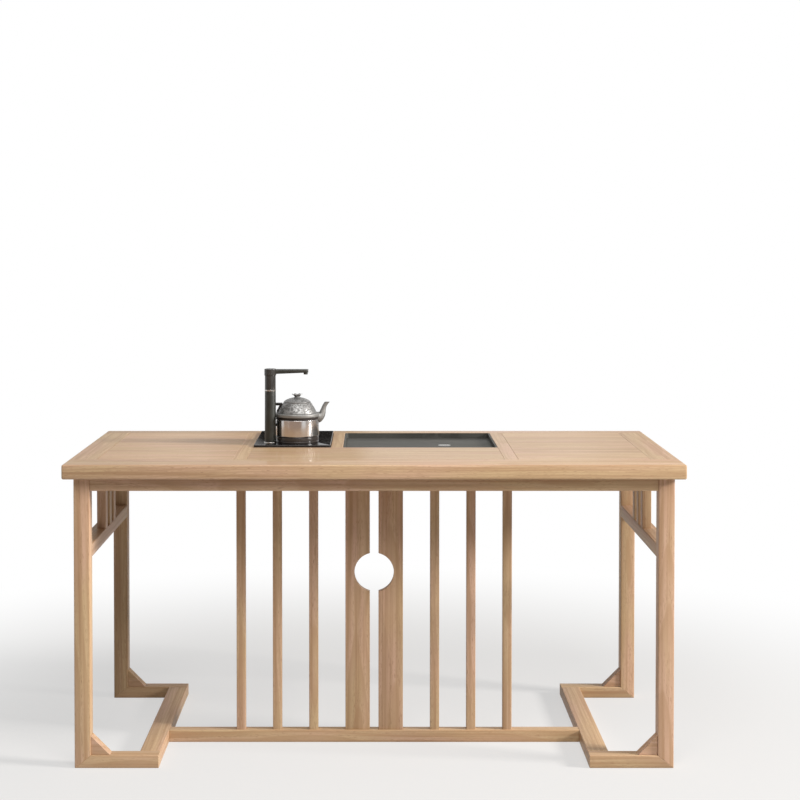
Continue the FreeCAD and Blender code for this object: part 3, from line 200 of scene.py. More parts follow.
def stage_sheet(name, corners, faces, material):
    """A sheet of the studio, from its corners and faces."""
    mesh = bpy.data.meshes.new(name)
    mesh.from_pydata(corners, [], faces)
    mesh.materials.append(material)
    sheet = new_object(name, mesh)
    return sheet


plan = [(x * FLOOR_HALF, y * FLOOR_HALF, 0) for x, y in ((-1, -1), (1, -1), (1, 1), (-1, 1))]
stage_sheet("floor", plan, [(0, 1, 2, 3)], make_floor_finish())
print("floor", 2 * FLOOR_HALF, "m wide")

# %% Sky and lamps
SKY_LEVEL = 0.18
TABLE_HEART = Vector((0, 0, 0.55))
KEY_POWER = 1840
KEY_SIZE = 2.1
KEY_PLACE = TABLE_HEART + Vector((10.1, -2.44, 4.19))
BOX_POWER = 100
BOX_SIZE = 2.4
BOX_PLACE = Vector((0.3, -2.6, 3.6))

world = bpy.data.worlds.new("studio")
bpy.context.scene.world = world
world.use_nodes = True
sky = world.node_tree
level = add(sky, RANGE, {"Value": seen_directly(sky), "To Min": SKY_LEVEL, "To Max": 1.0})[0]
fill(sky, sky.nodes["Background"], {"Color": tint("#FFFFFF"), "Strength": level})


def lamp(name, place, settings):
    """A square lamp at a place, turned to the middle of the table."""
    data = bpy.data.lights.new(name, "AREA")
    for key, value in settings.items():
        setattr(data, key, value)
    made = new_object(name, data)
    made.location = place
    made.rotation_euler = (TABLE_HEART - place).to_track_quat("-Z", "Y").to_euler()
    made.visible_camera = False


lamp("key", KEY_PLACE, {"energy": KEY_POWER, "size": KEY_SIZE, "color": tint("#FFFCFA")[:3]})
lamp("front_softbox", BOX_PLACE, {"energy": BOX_POWER, "size": BOX_SIZE})
bpy.context.scene.view_settings.view_transform = "Standard"
print("key", KEY_POWER, "softbox", BOX_POWER, "sky", SKY_LEVEL)

# %% [markdown]
# ## Cards for the mirrors
#
# Polished steel and black glass have hardly a colour of their own: they show the room. In an all-white
# room the kettle would be white and the glass a grey sheet. So cards hang round the table, as on a
# photographer's set, with white gaps between them: two warm brown ones in front, a grey one on the
# right, and low flags behind, so that the stove's glass shows black and the lacquer of the two ends
# isn't milky. A flag's paint fades out towards its side edges, or the lacquer would show a step. Only
# mirrors see the cards. Light Path tells such a ray from the others, for which a card is clear air, so
# the cards take no light away and never show in a picture.

# %% Cards
CARD_DISTANCE = 2.6
CARD_STEPS = 6
FLAG_HEIGHT = 1.3
FLAG_CLOTH = "#2A2826"


def card(name, stops, height, code):
    """A card bent round the table. A stop is a bearing from the front in degrees, and the paint's cover."""
    material, tree = new_finish(name, {})[:2]
    air = add(tree, "ShaderNodeBsdfTransparent")[0]
    paint = add(tree, "ShaderNodeEmission", {"Color": tint(code)})[0]
    cover = add(tree, (ATTRIBUTE, {"attribute_name": "cover"}))["Fac"]
    share = add(tree, TIMES, {0: cover, 1: add(tree, "ShaderNodeLightPath")["Is Glossy Ray"]})[0]
    mixed = add(tree, "ShaderNodeMixShader", {0: share, 1: air, 2: paint})[0]
    fill(tree, tree.nodes["Material Output"], {"Surface": mixed})
    corners, covers = [], []
    for (start, cover), (end, next_cover) in zip(stops, stops[1:]):
        for share in (i / CARD_STEPS for i in range(CARD_STEPS + 1)):
            bearing = math.radians(start + (end - start) * share)
            x, y = CARD_DISTANCE * math.sin(bearing), -CARD_DISTANCE * math.cos(bearing)
            corners += [(x, y, 0.0), (x, y, height)]
            covers += [cover + (next_cover - cover) * share] * 2
    faces = [(i, i + 2, i + 3, i + 1) for i in range(0, len(corners) - 2, 2)]
    sheet = stage_sheet(name, corners, faces, material)
    sheet.data.attributes.new("cover", "FLOAT", "POINT").data.foreach_set("value", covers)


card("warm_card_left", [(-74, 1), (-49, 1)], 2.2, "#B5A293")
card("warm_card_middle", [(-47, 1), (22, 1)], 2.2, "#B39C8D")
card("grey_card", [(46, 1), (145, 1)], 2.6, "#9F9B97")
card("right_flag", [(146, 0), (149, 0.6), (154, 0.6), (161, 0)], FLAG_HEIGHT, FLAG_CLOTH)
card("left_flag", [(180, 0), (182, 1), (191, 1), (196, 0.35), (200, 0.35), (204, 0.6), (209, 0.6), (214, 0)],
     FLAG_HEIGHT, FLAG_CLOTH)
print("cards hung at", CARD_DISTANCE, "m")

# %% [markdown]
# ## Oak
#
# Oak is ring-porous: each year starts with a row of open pores, drawn by the saw into short dark
# dashes, and ends in smooth dark latewood. A picture of oak could be wrapped round each board, but
# then the end grain would not meet the face. Here the tree is built instead. Every board carries an
# attribute that says where it lay in its log, and the material works out the rings at that place, so
# faces, edges and end grain all agree. Squeezing the log along its length turns rings into cathedrals.

# %% Oak finish
RING_SPACING = 7.0 * MM        # real rings are 2 to 4 mm wide, drawn coarser so that they show
RING_SQUEEZE = 0.05            # how fast the rings close along the board, which sets the cathedrals
RING_WANDER = 35.0 * MM        # how far a ring strays from its circle
# Length and width of each mark in the wood, and the detail of its edge. A pore is as wide as two real
# ones, and a fleck is a bundle of pores and rays: both are drawn coarser so that they show.
OAK_MARKS = {
    "pore": (14.0 * MM, 1.0 * MM, 1.0), "fleck": (42.0 * MM, 2.4 * MM, 2.0),
    "streak": (520.0 * MM, 8.0 * MM, 3.0), "patch": (420.0 * MM, 60.0 * MM, 2.0),
    "wander": (550.0 * MM, 90.0 * MM, 2.0),
}


def make_oak(name, constants, light, dark):
    """Sawn and sanded oak under a clear coat: soft bands, dark dashes, and a drift from straw to pink."""
    material, tree, shader = new_finish(name, constants)
    place = add(tree, (ATTRIBUTE, {"attribute_name": "grain"}))["Vector"]
    tone = add(tree, (ATTRIBUTE, {"attribute_name": "tone"}))["Fac"]
    marks = {}
    for mark, (long, wide, detail) in OAK_MARKS.items():
        spot = add(tree, STRETCHED, {0: place, 1: (1 / long, 1 / wide, 1 / wide)})[0]
        marks[mark] = add(tree, NOISE, {"Vector": spot, "Scale": 1.0, "Detail": detail})
    bent = add(tree, STRETCHED_AND_SHIFTED, {
        0: marks["wander"]["Color"], 1: (0.0, RING_WANDER, RING_WANDER), 2: place})[0]
    log = add(tree, STRETCHED, {0: bent, 1: (RING_SQUEEZE, 1.0, 1.0)})[0]
    radius = add(tree, LENGTH, {0: log})["Value"]
    year = add(tree, OVER, {0: radius, 1: RING_SPACING})[0]
    year = add(tree, FRACTION, {0: year})[0]
    late = add(tree, EASED, {"Value": year, "From Min": 0.15, "From Max": 0.85, "To Max": 0.42})[0]
    turn = add(tree, EASED, {"Value": year, "From Min": 1.0, "From Max": 0.88})[0]
    late = add(tree, TIMES, {0: late, 1: turn})[0]
    early = add(tree, EASED, {"Value": year, "From Min": 0.6, "From Max": 0.05, "To Min": 0.25})[0]
    shares = {}
    for mark, low, high, most in (("patch", 0.36, 0.64, 1.0), ("streak", 0.4, 0.7, 0.75),
                                  ("fleck", 0.56, 0.7, 0.38), ("pore", 0.58, 0.72, 0.75)):
        shares[mark] = add(tree, EASED, {
            "Value": marks[mark][0], "From Min": low, "From Max": high, "To Max": most})[0]
    fleck = add(tree, TIMES, {0: shares["fleck"], 1: early})[0]
    pore = add(tree, TIMES, {0: shares["pore"], 1: early})[0]
    open_grain = add(tree, LARGER, {0: fleck, 1: pore})[0]
    colour = tint(light[0])
    for share, code in ((shares["patch"], light[1]), (late, dark), (shares["streak"], dark),
                        (open_grain, "#8A6446")):
        colour = add(tree, MIX, {MIX_SHARE: share, MIX_A: colour, MIX_B: tint(code)})[MIX_OUT]
    toned = add(tree, SCALED, {0: colour, "Scale": tone})[0]
    filled = add(tree, MINUS, {0: 1.0, 1: pore})[0]
    relief = add(tree, BUMP, {"Strength": 0.3, "Distance": 0.12 * MM, "Height": filled})[0]
    fill(tree, shader, {"Base Color": toned, "Normal": relief})
    return material


print("oak rings", RING_SPACING, "m apart")

# %% The two oaks
# The top's oak is a touch paler than the frame's. That is painted sheen, standing in for the glare on the
# top's gloss lacquer, while the two coats differ as the real ones do.
top_oak = make_oak("oak_lacquered_gloss", {
    "Roughness": 0.5, "Specular IOR Level": 0.3, "Coat Weight": 0.2, "Coat Roughness": 0.08},
    ("#C5A881", "#C8A487"), "#A6825F")
frame_oak = make_oak("oak_lacquered_satin", {
    "Roughness": 0.5, "Specular IOR Level": 0.25, "Coat Weight": 0.08, "Coat Roughness": 0.3},
    ("#C1A580", "#C4A188"), "#A5815F")
print("finishes of the oak:", top_oak.name, frame_oak.name)

# %% [markdown]
# ## Boards
#
# Every wooden member is a straight board with a plain outline: a rectangle, a mitred leg, a board with
# a round bite. So one function pushes an outline through its thickness, takes the sharpness off its
# edges, and saws it into staves, as a joiner glues up a wide panel. Edges on the outside of the table
# are eased more than the small chamfer at a joint, where two chamfers meet as a fine dark line.

# %% From an outline to a prism
X, Y, Z = 0, 1, 2


def pushed(outline, axis, low, high):
    """A prism: an outline in the two other axes, pushed along one axis."""
    mesh = bmesh.new()
    across = [i for i in range(3) if i != axis]
    rings = []
    for level in (low, high):
        ring = []
        for pair in outline:
            corner = [level] * 3
            corner[across[0]], corner[across[1]] = pair
            ring.append(mesh.verts.new(corner))
        rings.append(ring)
        mesh.faces.new(ring)
    skin(mesh, *rings)
    bmesh.ops.recalc_face_normals(mesh, faces=mesh.faces)
    return mesh


def skin(mesh, low, high):
    """Joins two rings of corners by faces. A ring that is one point repeated gives triangles."""
    for i in range(len(low)):
        j = (i + 1) % len(low)
        corners = list(dict.fromkeys((low[i], low[j], high[j], high[i])))
        if len(corners) > 2:
            mesh.faces.new(corners)


def box(x0, x1, y0, y1, z0, z1):
    """A plain box as a prism, from its limits."""
    return pushed([(x0, y0), (x1, y0), (x1, y1), (x0, y1)], Z, z0, z1)


print("outline helpers ready")

# %% Eased edges and glue lines
JOINT_CHAMFER = 0.8 * MM       # real joints are closer, drawn a little coarser so that the line shows
SHARP = math.radians(50)


def eased(mesh, width, segments=1, keep=lambda edge: True):
    """Rounds the sharp edges that keep() picks."""
    edges = [e for e in mesh.edges if e.is_manifold and e.calc_face_angle() > SHARP and keep(e)]
    bmesh.ops.bevel(mesh, geom=edges, offset=width, segments=segments, profile=0.5,
                    affect="EDGES", clamp_overlap=True)


def running(axis):
    """Picks the edges that run along an axis."""
    return lambda edge: abs((edge.verts[0].co - edge.verts[1].co).normalized()[axis]) > 0.99


def on_planes(planes):
    """Picks the edges that lie on one of the planes, each an axis and a place on it."""
    return lambda edge: any(all(abs(v.co[axis] - at) < 1e-6 for v in edge.verts) for axis, at in planes)


def plank(spans, arris, segments, keep):
    """A box with its picked edges rounded by an arris and the rest by the joint chamfer."""
    mesh = box(*spans)
    eased(mesh, arris, segments, keep)
    eased(mesh, JOINT_CHAMFER)
    return mesh


def sawn(mesh, across, staves):
    """Cuts the faces along the glue lines between staves, which stay flush."""
    spots = [v.co[across] for v in mesh.verts]
    low, high = min(spots), max(spots)
    for i in range(1, staves):
        place, normal = [0.0] * 3, [0.0] * 3
        place[across] = low + (high - low) * i / staves
        normal[across] = 1.0
        geometry = mesh.verts[:] + mesh.edges[:] + mesh.faces[:]
        bmesh.ops.bisect_plane(mesh, geom=geometry, plane_co=place, plane_no=normal, dist=1e-7)


print("joint chamfer", JOINT_CHAMFER, "m")

# %% From a mesh to a piece
SMOOTH = math.radians(35)


def smoothed(data, angle=SMOOTH):
    """Shades a mesh smooth but for its sharp edges."""
    data.polygons.foreach_set("use_smooth", [True] * len(data.polygons))
    data.set_sharp_from_angle(angle=angle)


def finished(name, mesh, material):
    """An object from a bmesh, with its finish."""
    data = bpy.data.meshes.new(name)
    mesh.to_mesh(data)
    mesh.free()
    data.materials.append(material)
    smoothed(data)
    return new_object(name, data)


def placed(made, body, nodes):
    """Puts a piece on its body, in place of the CAD nodes that it stands for, which it hides."""
    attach(made, body)
    if nodes:
        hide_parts(*nodes)
    return made


print("edges up to", round(math.degrees(SMOOTH)), "degrees are shaded smooth")

# %% Grain of a board
ALONG_LOG = 0.6                # how far up or down the log a board may lie, in metres
ACROSS_LOG = 0.03
LOG_DEPTH = (0.025, 0.085)     # how far from the heart of the tree a board was sawn
PAINTED_LIGHT_TONES = {                      # painted light and shade: boards made paler or darker than the rest, to stand for more or less light
    "leg_front_left": 1.1, "leg_rear_right": 1.12, "leg_front_right": 0.97, "foot_front_right": 1.06,
    "screen_board_right": 1.08, "top_panel_left": 1.04, "top_end_rail_right": 0.98, "apron_left": 0.95,
    "runner_left": 0.98, "runner_right": 1.08,
}


def grained(data, along, across, staves, seed, paler):
    """Stores on each face corner where it lay in its log, and on each face the tone of its stave, times the
    board's factor of painted light and shade.
    """
    depth = X + Y + Z - along - across
    places = [v.co for v in data.vertices]
    low, high = min(p[across] for p in places), max(p[across] for p in places)
    face_of_log = min(p[depth] for p in places)
    width = (high - low) / staves
    chance = random.Random(seed)
    logs = []
    for i in range(staves):
        shift = Vector((chance.uniform(-ALONG_LOG, ALONG_LOG), chance.uniform(-ACROSS_LOG, ACROSS_LOG),
                        chance.uniform(*LOG_DEPTH)))
        logs.append((shift, low + width * (i + 0.5), paler * chance.uniform(0.94, 1.05)))
    grain = data.attributes.new("grain", "FLOAT_VECTOR", "CORNER").data
    tone = data.attributes.new("tone", "FLOAT", "FACE").data
    for face in data.polygons:
        shift, middle, level = logs[min(max(int((face.center[across] - low) / width), 0), staves - 1)]
        tone[face.index].value = level
        for corner in face.loop_indices:
            spot = places[data.loops[corner].vertex_index]
            local = Vector((spot[along], spot[across] - middle, spot[depth] - face_of_log))
            grain[corner].vector = local + shift


print("boards paler or darker than the rest:", len(PAINTED_LIGHT_TONES))

# %% A board, and its limits in the CAD model
board_count = 0


def board(name, mesh, along, across, material, nodes, staves=1):
    """A wooden member from its prism: sawn into staves, given its grain, and put on the table."""
    global board_count
    board_count += 1
    sawn(mesh, across, staves)
    made = finished(name, mesh, material)
    # A board's tone takes its factor of painted light and shade, if it has one.
    grained(made.data, along, across, staves, board_count, PAINTED_LIGHT_TONES.get(nodes[0] if nodes else "", 1.0))
    return placed(made, "table", nodes)


SIDES = ("x-", "x+", "y-", "y+", "z-", "z+")


def limits(node, trims):
    """A member's limits as it shows, without the tenons and ledges that trims names by side."""
    low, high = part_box(node)
    spans = [low.x, high.x, low.y, high.y, low.z, high.z]
    for side, length in trims.items():
        spans[SIDES.index(side)] += length if side.endswith("-") else -length
    return spans


print("sides that a tenon or a ledge can be on:", *SIDES)

# %% [markdown]
# ## Tabletop
#
# A frame of rails holds three panels, and its cross rails leave two openings, for the stove and for
# the stone. All faces are flush. The rails' grain runs their own length and the panels' grain runs
# along the table, so the direction changes at each joint, and that is most of what the eye sees. The
# wide panels are glued up from staves about a hand wide, each from another board.

# %% Tabletop boards
TOP_ARRIS = 4.5 * MM
TENON = 15.0 * MM
TONGUE = 8.0 * MM
LEDGE = 12.0 * MM
STAVE = 105.0 * MM
half_length = cad_high.x
half_depth = cad_high.y
rim = on_planes([(X, -half_length), (X, half_length), (Y, -half_depth), (Y, half_depth)])
ENDS = {"y-": TENON, "y+": TENON}
TONGUES = {"x-": TONGUE, "x+": TONGUE, "y-": TONGUE, "y+": TONGUE}
top_members = {
    "top_front_rail": (X, {}),
    "top_rear_rail": (X, {"y-": LEDGE}),
    "top_end_rail_left": (Y, ENDS),
    "top_end_rail_right": (Y, ENDS),
    "top_cross_rail_left": (Y, {**ENDS, "x+": LEDGE}),
    "top_cross_rail_middle": (Y, {**ENDS, "x-": LEDGE, "x+": LEDGE}),
    "top_cross_rail_right": (Y, {**ENDS, "x-": LEDGE}),
    "top_panel_left": (X, TONGUES),
    "top_panel_right": (X, TONGUES),
    "top_panel_front": (X, {**TONGUES, "y+": LEDGE}),
}
for node, (along, trims) in top_members.items():
    spans = limits(node, trims)
    across = X + Y - along
    wide = spans[2 * across + 1] - spans[2 * across]
    staves = max(1, round(wide / STAVE))
    board(node + "_oak", plank(spans, TOP_ARRIS, 4, rim), along, across, top_oak, [node], staves)
print("tabletop members:", board_count)

# %% Ledges under the stone and the stove
WELL_GAP = 1.0 * MM
HOUSING_COLLAR = 12.0 * MM     # the stove's housing hangs by this between its glass and the ledge
ledge_foot = limits("top_front_rail", {})[4]
for well, node, drop in (("tray", "stone_tray", 0.0), ("stove", "stove_glass", HOUSING_COLLAR)):
    low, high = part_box(node)
    x0, x1, y0, y1 = low.x - WELL_GAP, high.x + WELL_GAP, low.y - WELL_GAP, high.y + WELL_GAP
    strips = {
        "front": (X, (x0, x1, y0, y0 + LEDGE)), "rear": (X, (x0, x1, y1 - LEDGE, y1)),
        "left": (Y, (x0, x0 + LEDGE, y0 + LEDGE, y1 - LEDGE)),
        "right": (Y, (x1 - LEDGE, x1, y0 + LEDGE, y1 - LEDGE)),
    }
    for place, (along, spans) in strips.items():
        mesh = plank((*spans, ledge_foot, low.z - drop), JOINT_CHAMFER, 1, running(along))
        board("ledge_" + well + "_" + place, mesh, along, X + Y - along, top_oak, [])
    print("ledges under the", node, ":", len(strips))

# %% [markdown]
# ## Base
#
# Legs, feet and runners make an open frame that lies on the floor like a C at each end. A leg meets its
# foot in a mitre, so both are pushed from a slanted outline, and a small triangle of wood fills the
# corner behind. The long edges get a softer arris than the ends, as a hand plane leaves them.

# %% Legs, feet and corner blocks
FRAME_ARRIS = 2.0 * MM
FRAME_TENON = 11.0 * MM
LEG_TENON = 8.0 * MM


def frame_board(node, mesh, along, across):
    """A member of the base, with its long edges eased."""
    eased(mesh, FRAME_ARRIS, 3, running(along))
    eased(mesh, JOINT_CHAMFER)
    return board(node + "_oak", mesh, along, across, frame_oak, [node])


for end in ("front", "rear"):
    for side, turn in (("left", -1), ("right", 1)):
        place = end + "_" + side
        leg = limits("leg_" + place, {"z+": LEG_TENON})
        foot = limits("foot_" + place, {})
        outer, inner = (leg[1], leg[0]) if turn > 0 else (leg[0], leg[1])
        tip = foot[0] if turn > 0 else foot[1]
        rise = foot[5]
        y0, y1 = leg[2], leg[3]
        outline = [(inner, leg[5]), (outer, leg[5]), (outer, 0.0), (inner, rise)]
        frame_board("leg_" + place, pushed(outline, Y, y0, y1), Z, X)
        outline = [(tip, 0.0), (outer, 0.0), (inner, rise), (tip, rise)]
        frame_board("foot_" + place, pushed(outline, Y, y0, y1), X, Z)
        block = limits("corner_block_" + place, {})
        reach = block[1] - block[0]
        outline = [(inner, rise), (inner - turn * reach, rise), (inner, rise + reach)]
        mesh = pushed(outline, Y, block[2], block[3])
        eased(mesh, JOINT_CHAMFER)
        board("corner_block_" + place + "_oak", mesh, X, Z, frame_oak, ["corner_block_" + place])
print("boards so far:", board_count)

# %% Rails of the base
X_TENONS = {"x-": FRAME_TENON, "x+": FRAME_TENON}
Y_TENONS = {"y-": FRAME_TENON, "y+": FRAME_TENON}
rails = {
    "apron_front": (X, X_TENONS), "apron_rear": (X, X_TENONS),
    "apron_left": (Y, Y_TENONS), "apron_right": (Y, Y_TENONS),
    "stretcher": (X, X_TENONS), "screen_top_rail": (X, X_TENONS),
    "runner_left": (Y, Y_TENONS), "runner_right": (Y, Y_TENONS),
    "end_rail_left": (Y, Y_TENONS), "end_rail_right": (Y, Y_TENONS),
}
for node, (along, trims) in rails.items():
    frame_board(node, box(*limits(node, trims)), along, Z)
print("rails of the base:", len(rails))

# %% [markdown]
# ## The two boards of the moon
#
# In the middle of the screen stand two wide boards, a finger apart, and a round opening is cut across
# both. A boolean cut would do it, but then the arc's edge would be ragged to ease. The outline of each
# board is known, three straight sides and one bitten by an arc, so it is drawn and pushed like the rest.

# %% Boards with the round opening
STUB = 8.0 * MM
STUBS = {"z-": STUB, "z+": STUB}
MOON_RADIUS = 50.8 * MM
MOON_HEIGHT = 439.0 * MM
MOON_STEPS = 28
SLAT_ARRIS = 1.5 * MM

for side, turn in (("left", -1), ("right", 1)):
    node = "screen_board_" + side
    x0, x1, y0, y1, z0, z1 = limits(node, STUBS)
    near, far = (x0, x1) if turn > 0 else (x1, x0)
    opening = math.acos(abs(near) / MOON_RADIUS)
    outline = [(near, z0), (far, z0), (far, z1), (near, z1)]
    for i in range(MOON_STEPS + 1):
        angle = opening - 2 * opening * i / MOON_STEPS
        outline.append((turn * MOON_RADIUS * math.cos(angle), MOON_HEIGHT + MOON_RADIUS * math.sin(angle)))
    mesh = pushed(outline, Y, y0, y1)
    eased(mesh, SLAT_ARRIS, 2, lambda edge: edge.calc_length() > MOON_RADIUS)
    eased(mesh, JOINT_CHAMFER)
    board(node + "_oak", mesh, Z, X, frame_oak, [node])
print("round opening", 2 * MOON_RADIUS, "m across")

# %% [markdown]
# ## Slats, by Geometry Nodes
#
# The screen and the end panels repeat one slat at a steady pitch, so one node tree makes any such row:
# a line of points, and on each point a slat with rounded corners. Each slat also gets a random place in
# its log and a tone of its own, or the row would look printed. The inputs are the sizes that a joiner
# would give.

# %% Geometry Nodes helpers
STORE, NAMED = "GeometryNodeStoreNamedAttribute", "GeometryNodeInputNamedAttribute"
REALIZE = "GeometryNodeRealizeInstances"
RECTANGLE = "GeometryNodeCurvePrimitiveQuadrilateral"
FILLET = ("GeometryNodeFilletCurve", {"mode": "POLY"})


def start_tree(name, inputs):
    """A Geometry Nodes tree with named inputs. Returns the tree and its input sockets."""
    tree = bpy.data.node_groups.new(name, "GeometryNodeTree")
    tree.interface.new_socket("Geometry", in_out="OUTPUT", socket_type="NodeSocketGeometry")
    for label, kind in inputs.items():
        tree.interface.new_socket(label, in_out="INPUT", socket_type="NodeSocket" + kind)
    return tree, add(tree, "NodeGroupInput")


def end_tree(tree, geometry, material):
    """Ends a tree in real geometry with its material set."""
    real = add(tree, REALIZE, {"Geometry": geometry})[0]
    last = add(tree, "GeometryNodeSetMaterial", {"Geometry": real, "Material": material})[0]
    add(tree, "NodeGroupOutput", {"Geometry": last})


def grown(name, tree, values, base=None):
    """Runs a tree once, with its inputs set, and keeps the result as a plain mesh."""
    carrier = new_object(name + "_carrier", base or bpy.data.meshes.new(name))
    modifier = carrier.modifiers.new("nodes", "NODES")
    modifier.node_group = tree
    for item in tree.interface.items_tree:
        if item.in_out == "INPUT" and item.name in values:
            modifier[item.identifier] = values[item.name]
    bpy.context.view_layer.update()
    data = bpy.data.meshes.new_from_object(carrier.evaluated_get(bpy.context.evaluated_depsgraph_get()))
    carrier.modifiers.remove(modifier)
    bpy.data.objects.remove(carrier)
    data.name = name
    return new_object(name, data)


print("node tree helpers ready")

# %% Slat row tree
def make_slat_tree():
    """A row of upright slats: count, first foot, step, section, length and arris."""
    tree, given = start_tree("slat_row", {
        "Count": "Int", "First": "Vector", "Step": "Vector", "Width": "Float", "Thick": "Float",
        "Length": "Float", "Arris": "Float", "Seed": "Int", "Finish": "Material"})
    feet = add(tree, ("GeometryNodeMeshLine", {"mode": "OFFSET", "count_mode": "TOTAL"}), {
        "Count": given["Count"], "Start Location": given["First"], "Offset": given["Step"]})[0]
    section = add(tree, RECTANGLE, {"Width": given["Width"], "Height": given["Thick"]})[0]
    section = add(tree, FILLET, {"Curve": section, "Radius": given["Arris"], "Count": 3})[0]
    foot = add(tree, ("GeometryNodeFillCurve", {"mode": "NGONS"}), {"Curve": section})[0]
    rise = add(tree, "ShaderNodeCombineXYZ", {"Z": given["Length"]})[0]
    body = add(tree, ("GeometryNodeExtrudeMesh", {"mode": "FACES"}), {
        "Mesh": foot, "Offset": rise, "Offset Scale": 1.0, "Individual": False})[0]
    under = add(tree, "GeometryNodeFlipFaces", {"Mesh": foot})[0]
    joined = add(tree, "GeometryNodeJoinGeometry", {0: [body, under]})[0]
    slat = add(tree, "GeometryNodeMergeByDistance", {"Geometry": joined, "Distance": 0.01 * MM})[0]
    spot = add(tree, "ShaderNodeSeparateXYZ", {0: add(tree, "GeometryNodeInputPosition")[0]})
    local = add(tree, "ShaderNodeCombineXYZ", {"X": spot["Z"], "Y": spot["X"], "Z": spot["Y"]})[0]
    on_points = (STORE, {"data_type": "FLOAT_VECTOR", "domain": "POINT"})
    slat = add(tree, on_points, {"Geometry": slat, "Name": "grain", "Value": local})[0]
    row = add(tree, "GeometryNodeInstanceOnPoints", {"Points": feet, "Instance": slat})[0]
    shift = add(tree, ("FunctionNodeRandomValue", {"data_type": "FLOAT_VECTOR"}), {
        0: (-ALONG_LOG, -ACROSS_LOG, LOG_DEPTH[0]), 1: (ALONG_LOG, ACROSS_LOG, LOG_DEPTH[1]),
        "Seed": given["Seed"]})[0]
    tone = add(tree, ("FunctionNodeRandomValue", {"data_type": "FLOAT"}), {
        2: 0.93, 3: 1.06, "Seed": given["Seed"]})[1]
    for name, kind, value in (("log", "FLOAT_VECTOR", shift), ("tone", "FLOAT", tone)):
        row = add(tree, (STORE, {"data_type": kind, "domain": "INSTANCE"}), {
            "Geometry": row, "Name": name, "Value": value})[0]
    row = add(tree, REALIZE, {"Geometry": row})[0]
    own, log = (add(tree, (NAMED, {"data_type": "FLOAT_VECTOR"}), {"Name": name})["Attribute"]
                for name in ("grain", "log"))
    total = add(tree, SHIFTED, {0: own, 1: log})[0]
    row = add(tree, on_points, {"Geometry": row, "Name": "grain", "Value": total})[0]
    end_tree(tree, row, given["Finish"])
    return tree


slat_tree = make_slat_tree()
print("slat tree:", len(slat_tree.nodes), "nodes")

# %% Screen slats and end panel slats
SLAT_COUNT = 3
END_SLAT_WIDTH = 32.0 * MM
FIRST_SEED = 7
slat_count = 0


def slats(name, nodes, first, step, width, thick, length):
    """Grows one row and puts it on the table in place of its nodes."""
    global slat_count
    slat_count += SLAT_COUNT
    row = grown(name, slat_tree, {
        "Count": SLAT_COUNT, "First": first, "Step": step, "Width": width, "Thick": thick,
        "Length": length, "Arris": SLAT_ARRIS, "Seed": FIRST_SEED + slat_count, "Finish": frame_oak})
    smoothed(row.data)
    placed(row, "table", nodes)


for side in ("left", "right"):
    nodes = ["screen_slat_{}_{}".format(side, i + 1) for i in range(SLAT_COUNT)]
    spans = [limits(node, STUBS) for node in nodes]
    x0, x1, y0, y1, z0, z1 = spans[0]
    pitch = spans[1][0] - x0
    slats("screen_slats_" + side, nodes, ((x0 + x1) / 2, (y0 + y1) / 2, z0), (pitch, 0.0, 0.0),
          x1 - x0, y1 - y0, z1 - z0)
    node = "end_slats_" + side
    x0, x1, y0, y1, z0, z1 = limits(node, STUBS)
    pitch = (y1 - y0 - END_SLAT_WIDTH) / (SLAT_COUNT - 1)
    slats("end_panel_slats_" + side, [node], ((x0 + x1) / 2, y0 + END_SLAT_WIDTH / 2, z0),
          (0.0, pitch, 0.0), x1 - x0, END_SLAT_WIDTH, z1 - z0)
print("slats:", slat_count)

# %% [markdown]
# ## Turned pieces
#
# The column, the heater and the kettle are all round, so each is an outline that is turned about an
# upright axis, as a metal spinner works over a form. A corner in the outline is first rounded, because
# no real edge is sharp and a bright line along the edge is what tells the eye that it is metal.

# %% Turning helpers
def rounded(outline, size, steps=4):
    """Rounds the corners of an open outline of radius and height, by at most size."""
    result = [outline[0]]
    for before, corner, after in zip(outline, outline[1:], outline[2:]):
        corner = Vector(corner)
        back, ahead = Vector(before) - corner, Vector(after) - corner
        cut = min(size, back.length * 0.45, ahead.length * 0.45)
        start, end = corner + back.normalized() * cut, corner + ahead.normalized() * cut
        for i in range(steps + 1):
            t = i / steps
            result.append(tuple(start * (1 - t) ** 2 + corner * 2 * t * (1 - t) + end * t ** 2))
    result.append(outline[-1])
    return result


def turned(mesh, outline, centre, segments, closed=False, lobes=lambda angle, radius, height: radius):
    """Adds to a bmesh the surface that an outline in millimetres sweeps round an upright axis."""
    rings = []
    for radius, height in outline:
        if radius < 1e-6:
            rings.append([mesh.verts.new((centre[0], centre[1], height * MM))] * segments)
            continue
        ring = []
        for i in range(segments):
            angle = 2 * math.pi * i / segments
            reach = lobes(angle, radius, height) * MM
            ring.append(mesh.verts.new((centre[0] + reach * math.cos(angle),
                                        centre[1] + reach * math.sin(angle), height * MM)))
        rings.append(ring)
    for low, high in zip(rings, rings[1:] + (rings[:1] if closed else [])):
        skin(mesh, low, high)


print("turning helpers ready")

# %% Pieces from turned shapes
def piece(name, mesh, material, body, nodes=()):
    """Finishes a bmesh as a piece that rides a body, and hides the CAD nodes that it stands for."""
    bmesh.ops.recalc_face_normals(mesh, faces=mesh.faces)
    return placed(finished(name, mesh, material), body, nodes)


def turned_piece(name, outline, centre, segments, material, body, nodes=(), closed=False):
    """One turned piece, from its outline in millimetres."""
    mesh = bmesh.new()
    turned(mesh, outline, centre, segments, closed)
    return piece(name, mesh, material, body, nodes)


def middle(node):
    """The middle of a node, seen from above."""
    low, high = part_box(node)
    return (low.x + high.x) / 2, (low.y + high.y) / 2


print("middle of the kettle's heater:", [round(v, 3) for v in middle("heater_base")])

